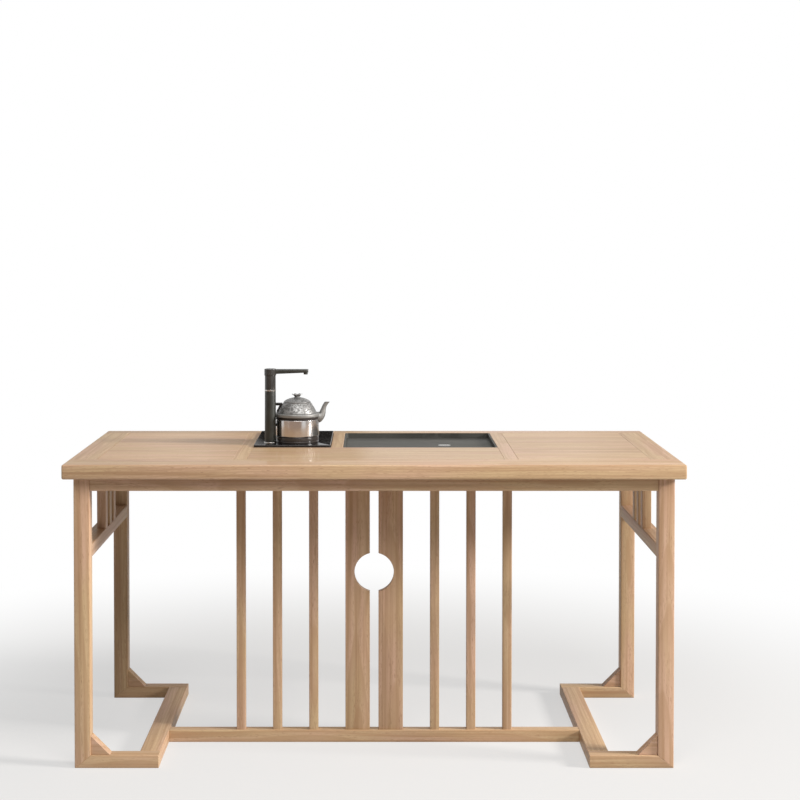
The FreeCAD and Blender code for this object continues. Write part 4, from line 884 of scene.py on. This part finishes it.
# %% [markdown]
# ## Glass, column and water arm
#
# The stove is a sheet of toughened glass, printed black from below, so the gloss sits on top and the
# black a little under it. The column through it is powder-coated steel up to a bright ring, and smoke
# brown gloss enamel above. The powder coat is the duller of the two, as its skin is a fine orange peel.

# %% Black glass finish
WIPING_MARKS = (83.33 * MM, 11.11 * MM, 33.33 * MM)  # a cloth leaves marks a hand long and a finger wide


def make_black_glass():
    """Toughened glass over black print: a mirror at a low angle, with faint wiping marks."""
    material, tree, shader = new_finish("toughened_black_glass", {"IOR": 1.5})
    often = tuple(1 / size for size in WIPING_MARKS)
    wiped = add(tree, STRETCHED, {0: add(tree, PLACE)["Object"], 1: often})[0]
    marks = add(tree, NOISE, {"Vector": wiped, "Scale": 1.0, "Detail": 4.0})[0]
    rough = add(tree, EASED, {
        "Value": marks, "From Min": 0.35, "From Max": 0.75, "To Min": 0.07, "To Max": 0.16})[0]
    shade = add(tree, MIX, {MIX_SHARE: marks, MIX_A: tint("#0B0A0A"), MIX_B: tint("#1B1818")})[MIX_OUT]
    fill(tree, shader, {"Base Color": shade, "Roughness": rough})
    return material


black_glass = make_black_glass()
print("black glass ready")

# %% Coats, plastics and bare metals
STAIN = 35.71 * MM             # a dull patch on bare metal, as a hand leaves it


def make_coated(name, level, ior, dark, light, speck, depth):
    """A coated or moulded surface: fine bumps at their real size in mm, and a slightly uneven colour."""
    material, tree, shader = new_finish(name, {"IOR": ior})
    place = add(tree, PLACE)["Object"]
    fine = add(tree, NOISE, {"Vector": place, "Scale": 1 / (speck * MM), "Detail": 2.0})[0]
    broad = add(tree, NOISE, {"Vector": place, "Scale": 1 / (40 * speck * MM), "Detail": 3.0})[0]
    shade = add(tree, EASED, {"Value": broad, "From Min": 0.3, "From Max": 0.7})[0]
    colour = add(tree, MIX, {MIX_SHARE: shade, MIX_A: tint(dark), MIX_B: tint(light)})[MIX_OUT]
    bump = add(tree, BUMP, {"Strength": 0.5, "Distance": depth * MM, "Height": fine})[0]
    rough = add(tree, RANGE, {"Value": broad, "To Min": level * 0.85, "To Max": level * 1.15})[0]
    fill(tree, shader, {"Base Color": colour, "Roughness": rough, "Normal": bump})
    return material


def make_spun(name, level, colour, line, depth, squeeze=(1.0, 1.0, 1.0)):
    """Bare or plated metal with the fine lines, sized in mm, that turning or brushing leaves."""
    material, tree, shader = new_finish(name, {"Metallic": 1.0})
    place = add(tree, PLACE)["Object"]
    drawn = add(tree, STRETCHED, {0: place, 1: squeeze})[0]
    lines = add(tree, NOISE, {"Vector": drawn, "Scale": 1 / (line * MM), "Detail": 3.0})[0]
    stain = add(tree, NOISE, {"Vector": place, "Scale": 1 / STAIN, "Detail": 3.0})[0]
    shade = add(tree, RANGE, {
        "Value": stain, "From Min": 0.3, "From Max": 0.7, "To Min": 0.9, "To Max": 1.04})[0]
    base = add(tree, SCALED, {0: tint(colour)[:3], "Scale": shade})[0]
    rough = add(tree, RANGE, {
        "Value": lines, "From Min": 0.3, "From Max": 0.7, "To Min": level * 0.75, "To Max": level * 1.3})[0]
    bump = add(tree, BUMP, {"Strength": 0.4, "Distance": depth * MM, "Height": lines})[0]
    fill(tree, shader, {"Base Color": base, "Roughness": rough, "Normal": bump})
    return material


powder_coat = make_coated("powder_coated_steel", 0.38, 1.5, "#242521", "#2F302B", 0.6, 0.03)
smoke_enamel = make_coated("smoke_gloss_enamel", 0.2, 1.5, "#2C2A28", "#373533", 1.2, 0.01)
bright_chrome = make_spun("polished_chrome", 0.12, "#B9B6B2", 0.4, 0.004, (0.1, 0.1, 1.0))
print("stove finishes ready")

# %% Glass plate
GLASS_CORNER = 4.0 * MM
GLASS_ARRIS = 0.9 * MM
glass_low, glass_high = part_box("stove_glass")


def rounded_plan(low, high, radius, steps=6):
    """The plan of a plate with round corners."""
    plan = []
    for turn, x, y in ((0, high.x - radius, high.y - radius), (1, low.x + radius, high.y - radius),
                       (2, low.x + radius, low.y + radius), (3, high.x - radius, low.y + radius)):
        for i in range(steps + 1):
            angle = math.pi / 2 * (turn + i / steps)
            plan.append((x + radius * math.cos(angle), y + radius * math.sin(angle)))
    return plan


mesh = pushed(rounded_plan(glass_low, glass_high, GLASS_CORNER), Z, glass_low.z, glass_high.z)
eased(mesh, GLASS_ARRIS, 3)
piece("stove_glass_plate", mesh, black_glass, "table", ["stove_glass"])
print("glass", round(glass_high.x - glass_low.x, 3), "m wide")

# %% Column and its rings
# Heights in mm above the floor, and radii in mm.
GLASS_TOP = 756.0
COLUMN_FOOT, COLUMN_TOP, COLUMN_SIDES = 15.0, 14.4, 72
COLUMN_BORE, COLUMN_TAIL, TAIL_END = 5.0, 8.0, 747.0
RING_LOW, RING_HIGH, RING_PROUD, WAIST = 894.0, 898.0, 0.5, 13.0
HUB_FOOT = 935.0
SPIGOT = (9.0, 944.0)
column_centre = middle("pump_column")
ring_radius = COLUMN_FOOT + (COLUMN_TOP - COLUMN_FOOT) * (RING_LOW - GLASS_TOP) / (HUB_FOOT - GLASS_TOP)

sleeve = [(COLUMN_BORE, TAIL_END), (COLUMN_TAIL, TAIL_END), (COLUMN_TAIL, GLASS_TOP),
          (COLUMN_FOOT, GLASS_TOP), (ring_radius, RING_LOW), (COLUMN_BORE, RING_LOW)]
turned_piece("column_sleeve", rounded(sleeve, 0.8), column_centre, COLUMN_SIDES, powder_coat, "table",
             ["pump_column"], closed=True)
neck = [(COLUMN_BORE, RING_LOW), (WAIST, RING_LOW), (WAIST, RING_HIGH), (ring_radius, RING_HIGH),
        (COLUMN_TOP, HUB_FOOT), (SPIGOT[0], HUB_FOOT), SPIGOT, (COLUMN_BORE, SPIGOT[1])]
turned_piece("column_neck", rounded(neck, 0.5), column_centre, COLUMN_SIDES, smoke_enamel, "table",
             closed=True)
proud = ring_radius + RING_PROUD
ring = [(WAIST, RING_LOW), (proud, RING_LOW), (proud, RING_HIGH), (WAIST, RING_HIGH)]
foot = [(15.2, GLASS_TOP), (17.0, GLASS_TOP), (17.0, 758.2), (16.1, 759.0), (15.2, 759.0)]
nut = [(8.2, TAIL_END), (14.0, TAIL_END), (14.0, 752.0), (8.2, 752.0)]
mesh = bmesh.new()
for outline in (ring, foot, nut):
    turned(mesh, rounded(outline, 0.6), column_centre, COLUMN_SIDES, closed=True)
piece("column_bright_rings", mesh, bright_chrome, "table", ["column_rings"])
print("column at", [round(v, 3) for v in column_centre])

# %% [markdown]
# The arm is a bar that gets thinner towards its mouth, level on top and rising underneath. It is
# lofted through rounded sections, so its edges stay soft all along, and its nose is the last few
# sections shrinking round a half circle. It turns on the column's neck by a hub, which stays clear of
# the neck by a hair, or the two would rub.

# %% Section of the water arm
ARM_TOP = 952.0
ARM_ROOT = (16.0, 13.0)        # width and thickness of the bar, in mm, at the column and at its mouth
ARM_TIP = (13.0, 9.0)
ARM_REACH = 101.0
ARM_ROUND = 2.6
ARM_CORNER_STEPS = 4


def arm_section(x, width, thick):
    """One upright section of the arm, a rectangle with round corners."""
    corner = min(ARM_ROUND, width * 0.49, thick * 0.49)
    section = []
    for turn, y, z in ((0, 1, 0), (1, -1, 0), (2, -1, -1), (3, 1, -1)):
        centre_y = y * (width / 2 - corner)
        centre_z = ARM_TOP - corner if z == 0 else ARM_TOP - thick + corner
        for i in range(ARM_CORNER_STEPS + 1):
            angle = math.pi / 2 * (turn + i / ARM_CORNER_STEPS)
            section.append((column_centre[0] + x * MM,
                            column_centre[1] + (centre_y + corner * math.cos(angle)) * MM,
                            (centre_z + corner * math.sin(angle)) * MM))
    return section


print("points in a section of the arm:", len(arm_section(0.0, *ARM_ROOT)))

# %% Water arm
ARM_STATIONS = (4.0, 14.0, 40.0, 70.0)
NOSE_TURNS = (0, 20, 40, 55, 68, 79, 87)
OUTLET = (5.5, 938.0)          # radius of the mouth and height of its lip
OUTLET_BORE = 2.0
OUTLET_DEPTH = 8.0
OUTLET_INSET = 7.0

nose = ARM_TIP[0] / 2
stations = [(x, 1.0) for x in ARM_STATIONS]
stations += [(ARM_REACH - nose + nose * math.sin(a), math.cos(a)) for a in map(math.radians, NOSE_TURNS)]
mesh = bmesh.new()
sections = []
for x, share in stations:
    along = x / ARM_REACH
    width = ARM_ROOT[0] + (ARM_TIP[0] - ARM_ROOT[0]) * along
    thick = ARM_ROOT[1] + (ARM_TIP[1] - ARM_ROOT[1]) * along
    sections.append([mesh.verts.new(v) for v in arm_section(x, width * share, thick)])
for low, high in zip(sections, sections[1:]):
    skin(mesh, low, high)
mesh.faces.new(sections[0])
mesh.faces.new(sections[-1])
outlet_centre = (column_centre[0] + (ARM_REACH - OUTLET_INSET) * MM, column_centre[1])
radius, lip = OUTLET
mouth = [(OUTLET_BORE, lip + OUTLET_DEPTH), (OUTLET_BORE, lip), (radius, lip), (radius, lip + OUTLET_DEPTH)]
turned(mesh, rounded(mouth, 1.0), outlet_centre, 32, closed=True)
piece("water_arm_bar", mesh, powder_coat, "arm", ["water_arm"])
print("arm reach", ARM_REACH, "mm")

# %% Hub of the water arm
HUB_CLEARANCE = 0.2
HUB_RADIUS, HUB_BORE = 15.8, 9.1
HUB_TOP, HUB_CEILING = 953.0, 944.4

hub_foot = HUB_FOOT + HUB_CLEARANCE
hub = [(HUB_BORE, hub_foot), (HUB_RADIUS, hub_foot), (HUB_RADIUS, HUB_TOP), (0.0, HUB_TOP),
       (0.0, HUB_CEILING), (HUB_BORE, HUB_CEILING)]
turned_piece("water_arm_hub", rounded(hub, 1.5), column_centre, COLUMN_SIDES, smoke_enamel, "arm",
             closed=True)
print("hub", HUB_CLEARANCE, "mm clear of the neck")

# %% [markdown]
# ## Kettle
#
# The body is spun steel, polished, with a groove under its brim. Its dome, spout and lid are castings
# with a low scroll relief, duller and greyer. Steel is a mirror, so most of its colour is the oak in
# front of it. The relief is grown by a node tree on the turned dome: rings around scattered centres,
# bent by noise, which the eye reads as curling cloud. The tree also keeps the height, and the finish
# darkens the hollows with it, as polish leaves them. The spout and the brim are plain castings, so they
# have no such height and take an even grey.

# %% Finishes of the kettle
SAND_GRAIN = MM / 0.9          # the mould's sand is finer, drawn at 0.9 grains to a mm so that it shows
CAST_CLOUD = 7.692 * MM        # blotches of paler and darker metal


def make_cast(name, hollow, worn):
    """Grey cast metal, dull in the hollows and rubbed bright on the high relief."""
    material, tree, shader = new_finish(name, {"Metallic": 0.6})
    place = add(tree, PLACE)["Object"]
    height = add(tree, (ATTRIBUTE, {"attribute_name": "relief"}))["Fac"]
    sand = add(tree, NOISE, {"Vector": place, "Scale": 1 / SAND_GRAIN, "Detail": 3.0})[0]
    cloud = add(tree, NOISE, {"Vector": place, "Scale": 1 / CAST_CLOUD, "Detail": 3.0})[0]
    high = add(tree, EASED, {"Value": height, "From Min": 0.1, "From Max": 0.85})[0]
    colour = add(tree, MIX, {MIX_SHARE: high, MIX_A: tint(hollow), MIX_B: tint(worn)})[MIX_OUT]
    colour = add(tree, OVERLAY, {MIX_SHARE: 0.3, MIX_A: colour, MIX_B: cloud})[MIX_OUT]
    rough = add(tree, RANGE, {"Value": high, "To Min": 0.5, "To Max": 0.38})[0]
    bump = add(tree, BUMP, {"Strength": 0.5, "Distance": 0.05 * MM, "Height": sand})[0]
    fill(tree, shader, {"Base Color": colour, "Roughness": rough, "Normal": bump})
    return material


polished_steel = make_spun("polished_spun_steel", 0.19, "#CDCAC8", 0.35, 0.003, (0.06, 0.06, 1.0))
cast_grey = make_cast("grey_casting", "#6B6A68", "#8A8987")
cast_plain = make_cast("plain_grey_casting", "#868582", "#93928F")
gloss_plastic = make_coated("gloss_black_plastic", 0.22, 1.48, "#322D2A", "#3B3531", 1.5, 0.01)
matt_plastic = make_coated("matt_black_plastic", 0.5, 1.48, "#141312", "#1E1C1A", 0.5, 0.03)
# painted shade: a near-black finish for the ring that darkens the groove under the brim
groove_shade_black = make_coated("painted_groove_shade_black", 0.65, 1.41, "#1E1714", "#2A211C", 0.4, 0.02)
print("kettle finishes ready")

# %% Heater base
HEATER_TOP = 771.0
kettle_centre = middle("heater_base")
heater = [(0.0, GLASS_TOP), (57.0, GLASS_TOP), (57.0, 759.6), (56.2, 760.2), (56.2, 761.0), (57.0, 761.6),
          (57.0, HEATER_TOP), (50.0, HEATER_TOP), (11.0, HEATER_TOP), (11.0, 776.0), (0.0, 776.0)]
turned_piece("heater_base_shell", rounded(heater, 1.6), kettle_centre, 128, gloss_plastic, "table",
             ["heater_base"])
print("heater at", [round(v, 3) for v in kettle_centre])

# %% Kettle body
BRIM_TOP = 833.0
BODY_RADIUS = 58.5
BODY_SIDES = 160
body = [(0.0, HEATER_TOP + 6), (12.0, HEATER_TOP + 6), (12.0, HEATER_TOP + 0.2), (56.0, HEATER_TOP + 0.2),
        (BODY_RADIUS, HEATER_TOP + 2.4), (BODY_RADIUS, 816.2), (57.6, 817.0), (56.0, 817.0), (56.0, 824.0),
        (54.5, 824.0), (54.5, 815.5), (57.0, 813.5), (57.0, 773.0), (13.5, 773.0), (13.5, 778.5),
        (0.0, 778.5)]
turned_piece("kettle_steel_body", rounded(body, 1.4), kettle_centre, BODY_SIDES, polished_steel, "kettle",
             ["kettle_body"])
brim = [(56.1, 823.0), (58.0, 823.0), (60.0, 824.6), (60.0, 831.2), (58.2, BRIM_TOP), (49.0, BRIM_TOP),
        (49.0, 831.5), (56.1, 831.5)]
turned_piece("kettle_cast_brim", rounded(brim, 1.2), kettle_centre, BODY_SIDES, cast_plain, "kettle",
             closed=True)
# A black ring fills the groove under the brim. It is painted shade, darkening the groove more than its depth
# would.
groove_shade_ring = [(55.6, 817.1), (56.7, 817.1), (56.7, 822.9), (55.6, 822.9)]
turned_piece("kettle_groove_shade_ring", rounded(groove_shade_ring, 0.4), kettle_centre, BODY_SIDES, groove_shade_black, "kettle",
             closed=True)
print("kettle body", 2 * BODY_RADIUS, "mm across")

# %% Relief tree
PLAIN_WEAR = 0.6               # the plain borders are rubbed about as bright as the relief on the whole
SCROLL_TURN = 15.0             # the wave's turn across one scroll, in radians, which makes about two rings
SCROLL_BEND = 0.9              # how far noise bends a ring, as a share of the scroll


def make_relief_tree():
    """Raises a curling relief on a casting: size and depth of the scrolls, and where they fade out."""
    tree, given = start_tree("cast_relief", {
        "Casting": "Geometry", "Scroll": "Float", "Depth": "Float", "Foot": "Float", "Top": "Float",
        "Fade": "Float", "Finish": "Material"})
    place = add(tree, "GeometryNodeInputPosition")[0]
    density = add(tree, OVER, {0: 1.0, 1: given["Scroll"]})[0]
    bend = add(tree, NOISE, {"Vector": place, "Scale": density, "Detail": 2.0})["Color"]
    bend_size = add(tree, TIMES, {0: given["Scroll"], 1: SCROLL_BEND})[0]
    bend = add(tree, SCALED, {0: bend, "Scale": bend_size})[0]
    bent = add(tree, SHIFTED, {0: place, 1: bend})[0]
    cells = add(tree, ("ShaderNodeTexVoronoi", {"feature": "SMOOTH_F1"}), {
        "Vector": bent, "Scale": density, "Smoothness": 0.25})["Distance"]
    wave = add(tree, TIMES, {0: cells, 1: SCROLL_TURN})[0]
    wave = add(tree, SINE, {0: wave})[0]
    ridge = add(tree, EASED, {"Value": wave, "From Min": -0.7, "From Max": 0.7})[0]
    height = add(tree, "ShaderNodeSeparateXYZ", {0: place})[2]
    mask = 1.0
    for larger, smaller in ((height, given["Foot"]), (given["Top"], height)):
        inside = add(tree, MINUS, {0: larger, 1: smaller})[0]
        inside = add(tree, ("ShaderNodeMath", {"operation": "DIVIDE", "use_clamp": True}), {
            0: inside, 1: given["Fade"]})[0]
        mask = add(tree, TIMES, {0: inside, 1: mask})[0]
    ridge = add(tree, TIMES, {0: ridge, 1: mask})[0]
    border = add(tree, RANGE, {"Value": mask, "To Min": PLAIN_WEAR, "To Max": 0.0})[0]
    shine = add(tree, PLUS, {0: ridge, 1: border})[0]
    kept = add(tree, (STORE, {"data_type": "FLOAT", "domain": "POINT"}), {
        "Geometry": given["Casting"], "Name": "relief", "Value": shine})[0]
    rise = add(tree, TIMES, {0: ridge, 1: given["Depth"]})[0]
    move = add(tree, SCALED, {0: add(tree, "GeometryNodeInputNormal")[0], "Scale": rise})[0]
    raised = add(tree, "GeometryNodeSetPosition", {"Geometry": kept, "Offset": move})[0]
    end_tree(tree, raised, given["Finish"])
    return tree


relief_tree = make_relief_tree()
print("relief tree:", len(relief_tree.nodes), "nodes")

# %% A casting with its relief
SCROLL = 12.0 * MM
RELIEF_DEPTH = 0.28 * MM
RELIEF_FADE = 2.0 * MM


def cast_piece(name, mesh, body, foot, top, nodes):
    """Grows the relief on a turned casting and puts it on its body."""
    bmesh.ops.recalc_face_normals(mesh, faces=mesh.faces)
    blank = bpy.data.meshes.new(name + "_blank")
    mesh.to_mesh(blank)
    mesh.free()
    made = grown(name, relief_tree, {
        "Scroll": SCROLL, "Depth": RELIEF_DEPTH, "Foot": foot * MM, "Top": top * MM, "Fade": RELIEF_FADE,
        "Finish": cast_grey}, blank)
    made.data.polygons.foreach_set("use_smooth", [True] * len(made.data.polygons))
    placed(made, body, nodes)


print("scrolls", SCROLL, "m wide and", RELIEF_DEPTH, "m high")

# %% Kettle dome and lid
DOME_SEGMENTS = 288
DOME_STEPS = 26
DOME_TOP = 861.0
LID_TOP = 874.0


def bowed(start, end, bulge, steps):
    """Points of a shallow arc between two points of an outline, bowed to the outside by bulge."""
    start, end = Vector(start), Vector(end)
    chord = end - start
    outward = Vector((chord.y, -chord.x)).normalized()
    return [tuple(start.lerp(end, i / steps) + outward * bulge * (1 - (2 * i / steps - 1) ** 2))
            for i in range(steps + 1)]


dome = bowed((51.5, BRIM_TOP), (36.0, DOME_TOP), 1.5, DOME_STEPS)
dome += bowed((33.5, DOME_TOP), (49.0, BRIM_TOP), -1.5, 6)
mesh = bmesh.new()
turned(mesh, dome, kettle_centre, DOME_SEGMENTS, closed=True)
cast_piece("kettle_cast_dome", mesh, "kettle", BRIM_TOP + 0.5, DOME_TOP + 0.5, ["kettle_shoulder"])

lid = [(0.0, LID_TOP - 2), (33.0, DOME_TOP), (30.7, DOME_TOP), (30.7, 856.0), (32.7, 856.0),
       (32.7, DOME_TOP)]
lid += rounded([(35.9, 861.1), (36.0, 862.8), (35.2, 863.4)], 0.4)
lid += bowed((34.8, 863.7), (8.0, LID_TOP - 0.4), 1.9, 22) + [(0.0, LID_TOP - 0.2)]
mesh = bmesh.new()
turned(mesh, lid, kettle_centre, DOME_SEGMENTS)
cast_piece("kettle_cast_lid", mesh, "lid", 863.2, LID_TOP + 1, ["kettle_lid"])
print("dome and lid cast")

# %% Lid knob
KNOB_LOBES = 6
KNOB_WAIST, KNOB_RIM = 876.0, 883.0
KNOB_RADIUS = 13.9
PETAL_CUT = 0.2                # how far the rim draws in between two petals, as a share of its radius
PETAL_DROP = 2.4               # and how far it drops there, in mm
WORN_FROM, WORN_OVER = 874.0, 8.0


def between_petals(angle, height):
    """0 on a petal or at the waist, 1 between two petals at the rim."""
    open_share = min(1.0, max(0.0, (height - KNOB_WAIST) / (KNOB_RIM - KNOB_WAIST)))
    return open_share * (0.5 - 0.5 * math.cos(KNOB_LOBES * angle))


knob = [(0.0, 872.5), (9.0, 872.5), (9.0, 874.0), (7.4, 875.2), (7.0, 876.6), (8.4, 878.6), (11.6, 880.6),
        (KNOB_RADIUS, 882.2), (14.3, 883.4), (13.4, 884.0), (12.2, 883.2), (9.0, 881.4), (4.5, 880.6),
        (2.5, 881.4), (0.0, 881.9)]
mesh = bmesh.new()
turned(mesh, rounded(knob, 0.8), kettle_centre, 120,
       lobes=lambda angle, radius, height: radius * (1 - PETAL_CUT * between_petals(angle, height)))
for vertex in mesh.verts:
    away = vertex.co - Vector((*kettle_centre, vertex.co.z))
    drop = between_petals(math.atan2(away.y, away.x), vertex.co.z / MM)
    vertex.co.z -= PETAL_DROP * MM * drop * min(1.0, away.length / (KNOB_RADIUS * MM))
knob_piece = piece("kettle_lid_knob", mesh, cast_grey, "lid")
worn = knob_piece.data.attributes.new("relief", "FLOAT", "POINT")
for vertex in knob_piece.data.vertices:
    worn.data[vertex.index].value = min(1.0, max(0.0, (vertex.co.z / MM - WORN_FROM) / WORN_OVER))
print("knob with", KNOB_LOBES, "petals")

# %% [markdown]
# The handle follows a path, so it is a node tree again: a line of four corners is rounded and swept
# with a flat section. Its two ends run into the dome and the body, where a strap would be riveted. A
# short straight strap of the same kind lies on the dome below it, as a guard for the fingers against
# the hot metal, so it is one more call of the same tree.

# %% Handle and its guard
HANDLE_TOP, HANDLE_FOOT, HANDLE_OUTER = 856.0, 800.0, 82.5


def make_strap_tree():
    """A flat strap along a bent path: the bend at its corners, its width, thickness and edge."""
    tree, given = start_tree("bent_strap", {
        "Path": "Geometry", "Bend": "Float", "Width": "Float", "Thick": "Float", "Edge": "Float",
        "Finish": "Material"})
    path = add(tree, "GeometryNodeMeshToCurve", {"Mesh": given["Path"]})[0]
    path = add(tree, FILLET, {"Curve": path, "Radius": given["Bend"], "Count": 8})[0]
    section = add(tree, RECTANGLE, {"Width": given["Width"], "Height": given["Thick"]})[0]
    section = add(tree, FILLET, {"Curve": section, "Radius": given["Edge"], "Count": 3})[0]
    strap = add(tree, "GeometryNodeCurveToMesh", {
        "Curve": path, "Profile Curve": section, "Fill Caps": True})[0]
    end_tree(tree, strap, given["Finish"])
    return tree


strap_tree = make_strap_tree()


def strap(name, corners, bend, width, thick, nodes):
    """A strap on the kettle's left. Corners are the distance from the kettle's axis and the height, in mm."""
    path = bpy.data.meshes.new(name + "_path")
    spots = [(kettle_centre[0] - away * MM, kettle_centre[1], height * MM) for away, height in corners]
    path.from_pydata(spots, [(i, i + 1) for i in range(len(spots) - 1)], [])
    made = grown(name, strap_tree, {
        "Bend": bend * MM, "Width": width * MM, "Thick": thick * MM, "Edge": 2.2 * MM,
        "Finish": matt_plastic}, path)
    smoothed(made.data)
    placed(made, "kettle", nodes)
    print(name, [round(v / MM, 1) for v in made.dimensions], "mm")


loop = [(40.0, HANDLE_TOP), (HANDLE_OUTER, HANDLE_TOP), (HANDLE_OUTER, HANDLE_FOOT), (58.0, HANDLE_FOOT)]
strap("kettle_strap_handle", loop, 10.0, 12.0, 7.0, ["kettle_handle"])
strap("kettle_handle_guard", [(42.5, HANDLE_TOP), (53.0, 835.5)], 1.0, 13.0, 6.0, [])

# %% [markdown]
# ## Stone and hidden parts
#
# The basin is slate, honed and not polished, so it is dark and a little milky, with faint clouds and a
# few pale veins. The CAD solid already has its shape, so it keeps its mesh and takes the finish. So do
# the parts that only show with the table turned over: the pump, the housing, the board and the screws.
# Each gets what its real surface has, since the part is looked at from below too.

# %% Stone finish
SLATE_CLOUDS = (200.0 * MM, 83.33 * MM, 111.1 * MM)  # longest along the bed that the slab was split from
SLATE_SPECK = MM / 0.7         # real grains are finer, drawn at 0.7 to a mm so that they show


def make_slate(name):
    """Honed slate: clouds a hand wide, a fine speckle, and thin pale veins along its bed."""
    material, tree, shader = new_finish(name, {"IOR": 1.54, "Specular IOR Level": 0.18})
    place = add(tree, PLACE)["Object"]
    often = tuple(1 / size for size in SLATE_CLOUDS)
    bed = add(tree, STRETCHED, {0: place, 1: often})[0]
    cloud = add(tree, NOISE, {"Vector": bed, "Scale": 1.0, "Detail": 6.0})[0]
    speck = add(tree, NOISE, {"Vector": place, "Scale": 1 / SLATE_SPECK, "Detail": 2.0})[0]
    vein = add(tree, NOISE, {"Vector": bed, "Scale": 0.7, "Detail": 5.0, "Distortion": 0.5})[0]
    vein = add(tree, MINUS, {0: vein, 1: 0.5})[0]
    vein = add(tree, UNSIGNED, {0: vein})[0]
    vein = add(tree, EASED, {
        "Value": vein, "From Min": 0.006, "From Max": 0.03, "To Min": 0.16, "To Max": 0.0})[0]
    shade = add(tree, EASED, {"Value": cloud, "From Min": 0.35, "From Max": 0.65})[0]
    colour = add(tree, MIX, {MIX_SHARE: shade, MIX_A: tint("#393834"), MIX_B: tint("#494843")})[MIX_OUT]
    colour = add(tree, OVERLAY, {MIX_SHARE: 0.3, MIX_A: colour, MIX_B: speck})[MIX_OUT]
    colour = add(tree, MIX, {MIX_SHARE: vein, MIX_A: colour, MIX_B: tint("#6F6E69")})[MIX_OUT]
    rough = add(tree, RANGE, {
        "Value": cloud, "From Min": 0.3, "From Max": 0.7, "To Min": 0.5, "To Max": 0.65})[0]
    bump = add(tree, BUMP, {"Strength": 0.4, "Distance": 0.05 * MM, "Height": speck})[0]
    fill(tree, shader, {"Base Color": colour, "Roughness": rough, "Normal": bump})
    return material


print("slate ready")

# %% Finishes of the parts that keep their CAD shape
kept = {
    "stone_tray": make_slate("honed_slate"),
    "kettle_spout": cast_plain,
    "drain_strainer": make_spun("brushed_stainless_steel", 0.28, "#A9A7A2", 0.4, 0.006, (0.1, 1.0, 1.0)),
    "apron_screws": make_spun("zinc_plated_steel", 0.35, "#A6A8A4", 0.5, 0.01),
    "drain_spigot": make_coated("moulded_white_abs", 0.42, 1.53, "#C6C4BC", "#D2D0C9", 0.8, 0.03),
    "stove_housing": make_coated("black_powder_coat", 0.5, 1.5, "#121212", "#1C1C1B", 0.7, 0.04),
    "water_pump": make_coated("moulded_black_abs", 0.4, 1.53, "#1C1C1C", "#262626", 0.6, 0.03),
    "cable_gland": make_coated("moulded_black_nylon", 0.48, 1.53, "#171717", "#222222", 0.5, 0.03),
    "control_board": make_coated("green_circuit_laminate", 0.35, 1.52, "#14402A", "#1D5236", 1.2, 0.02),
}
for node, material in kept.items():
    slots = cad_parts[node].material_slots
    for slot in slots:
        slot.material = material
    print(node, "takes", material.name, "on", len(slots), "slots")
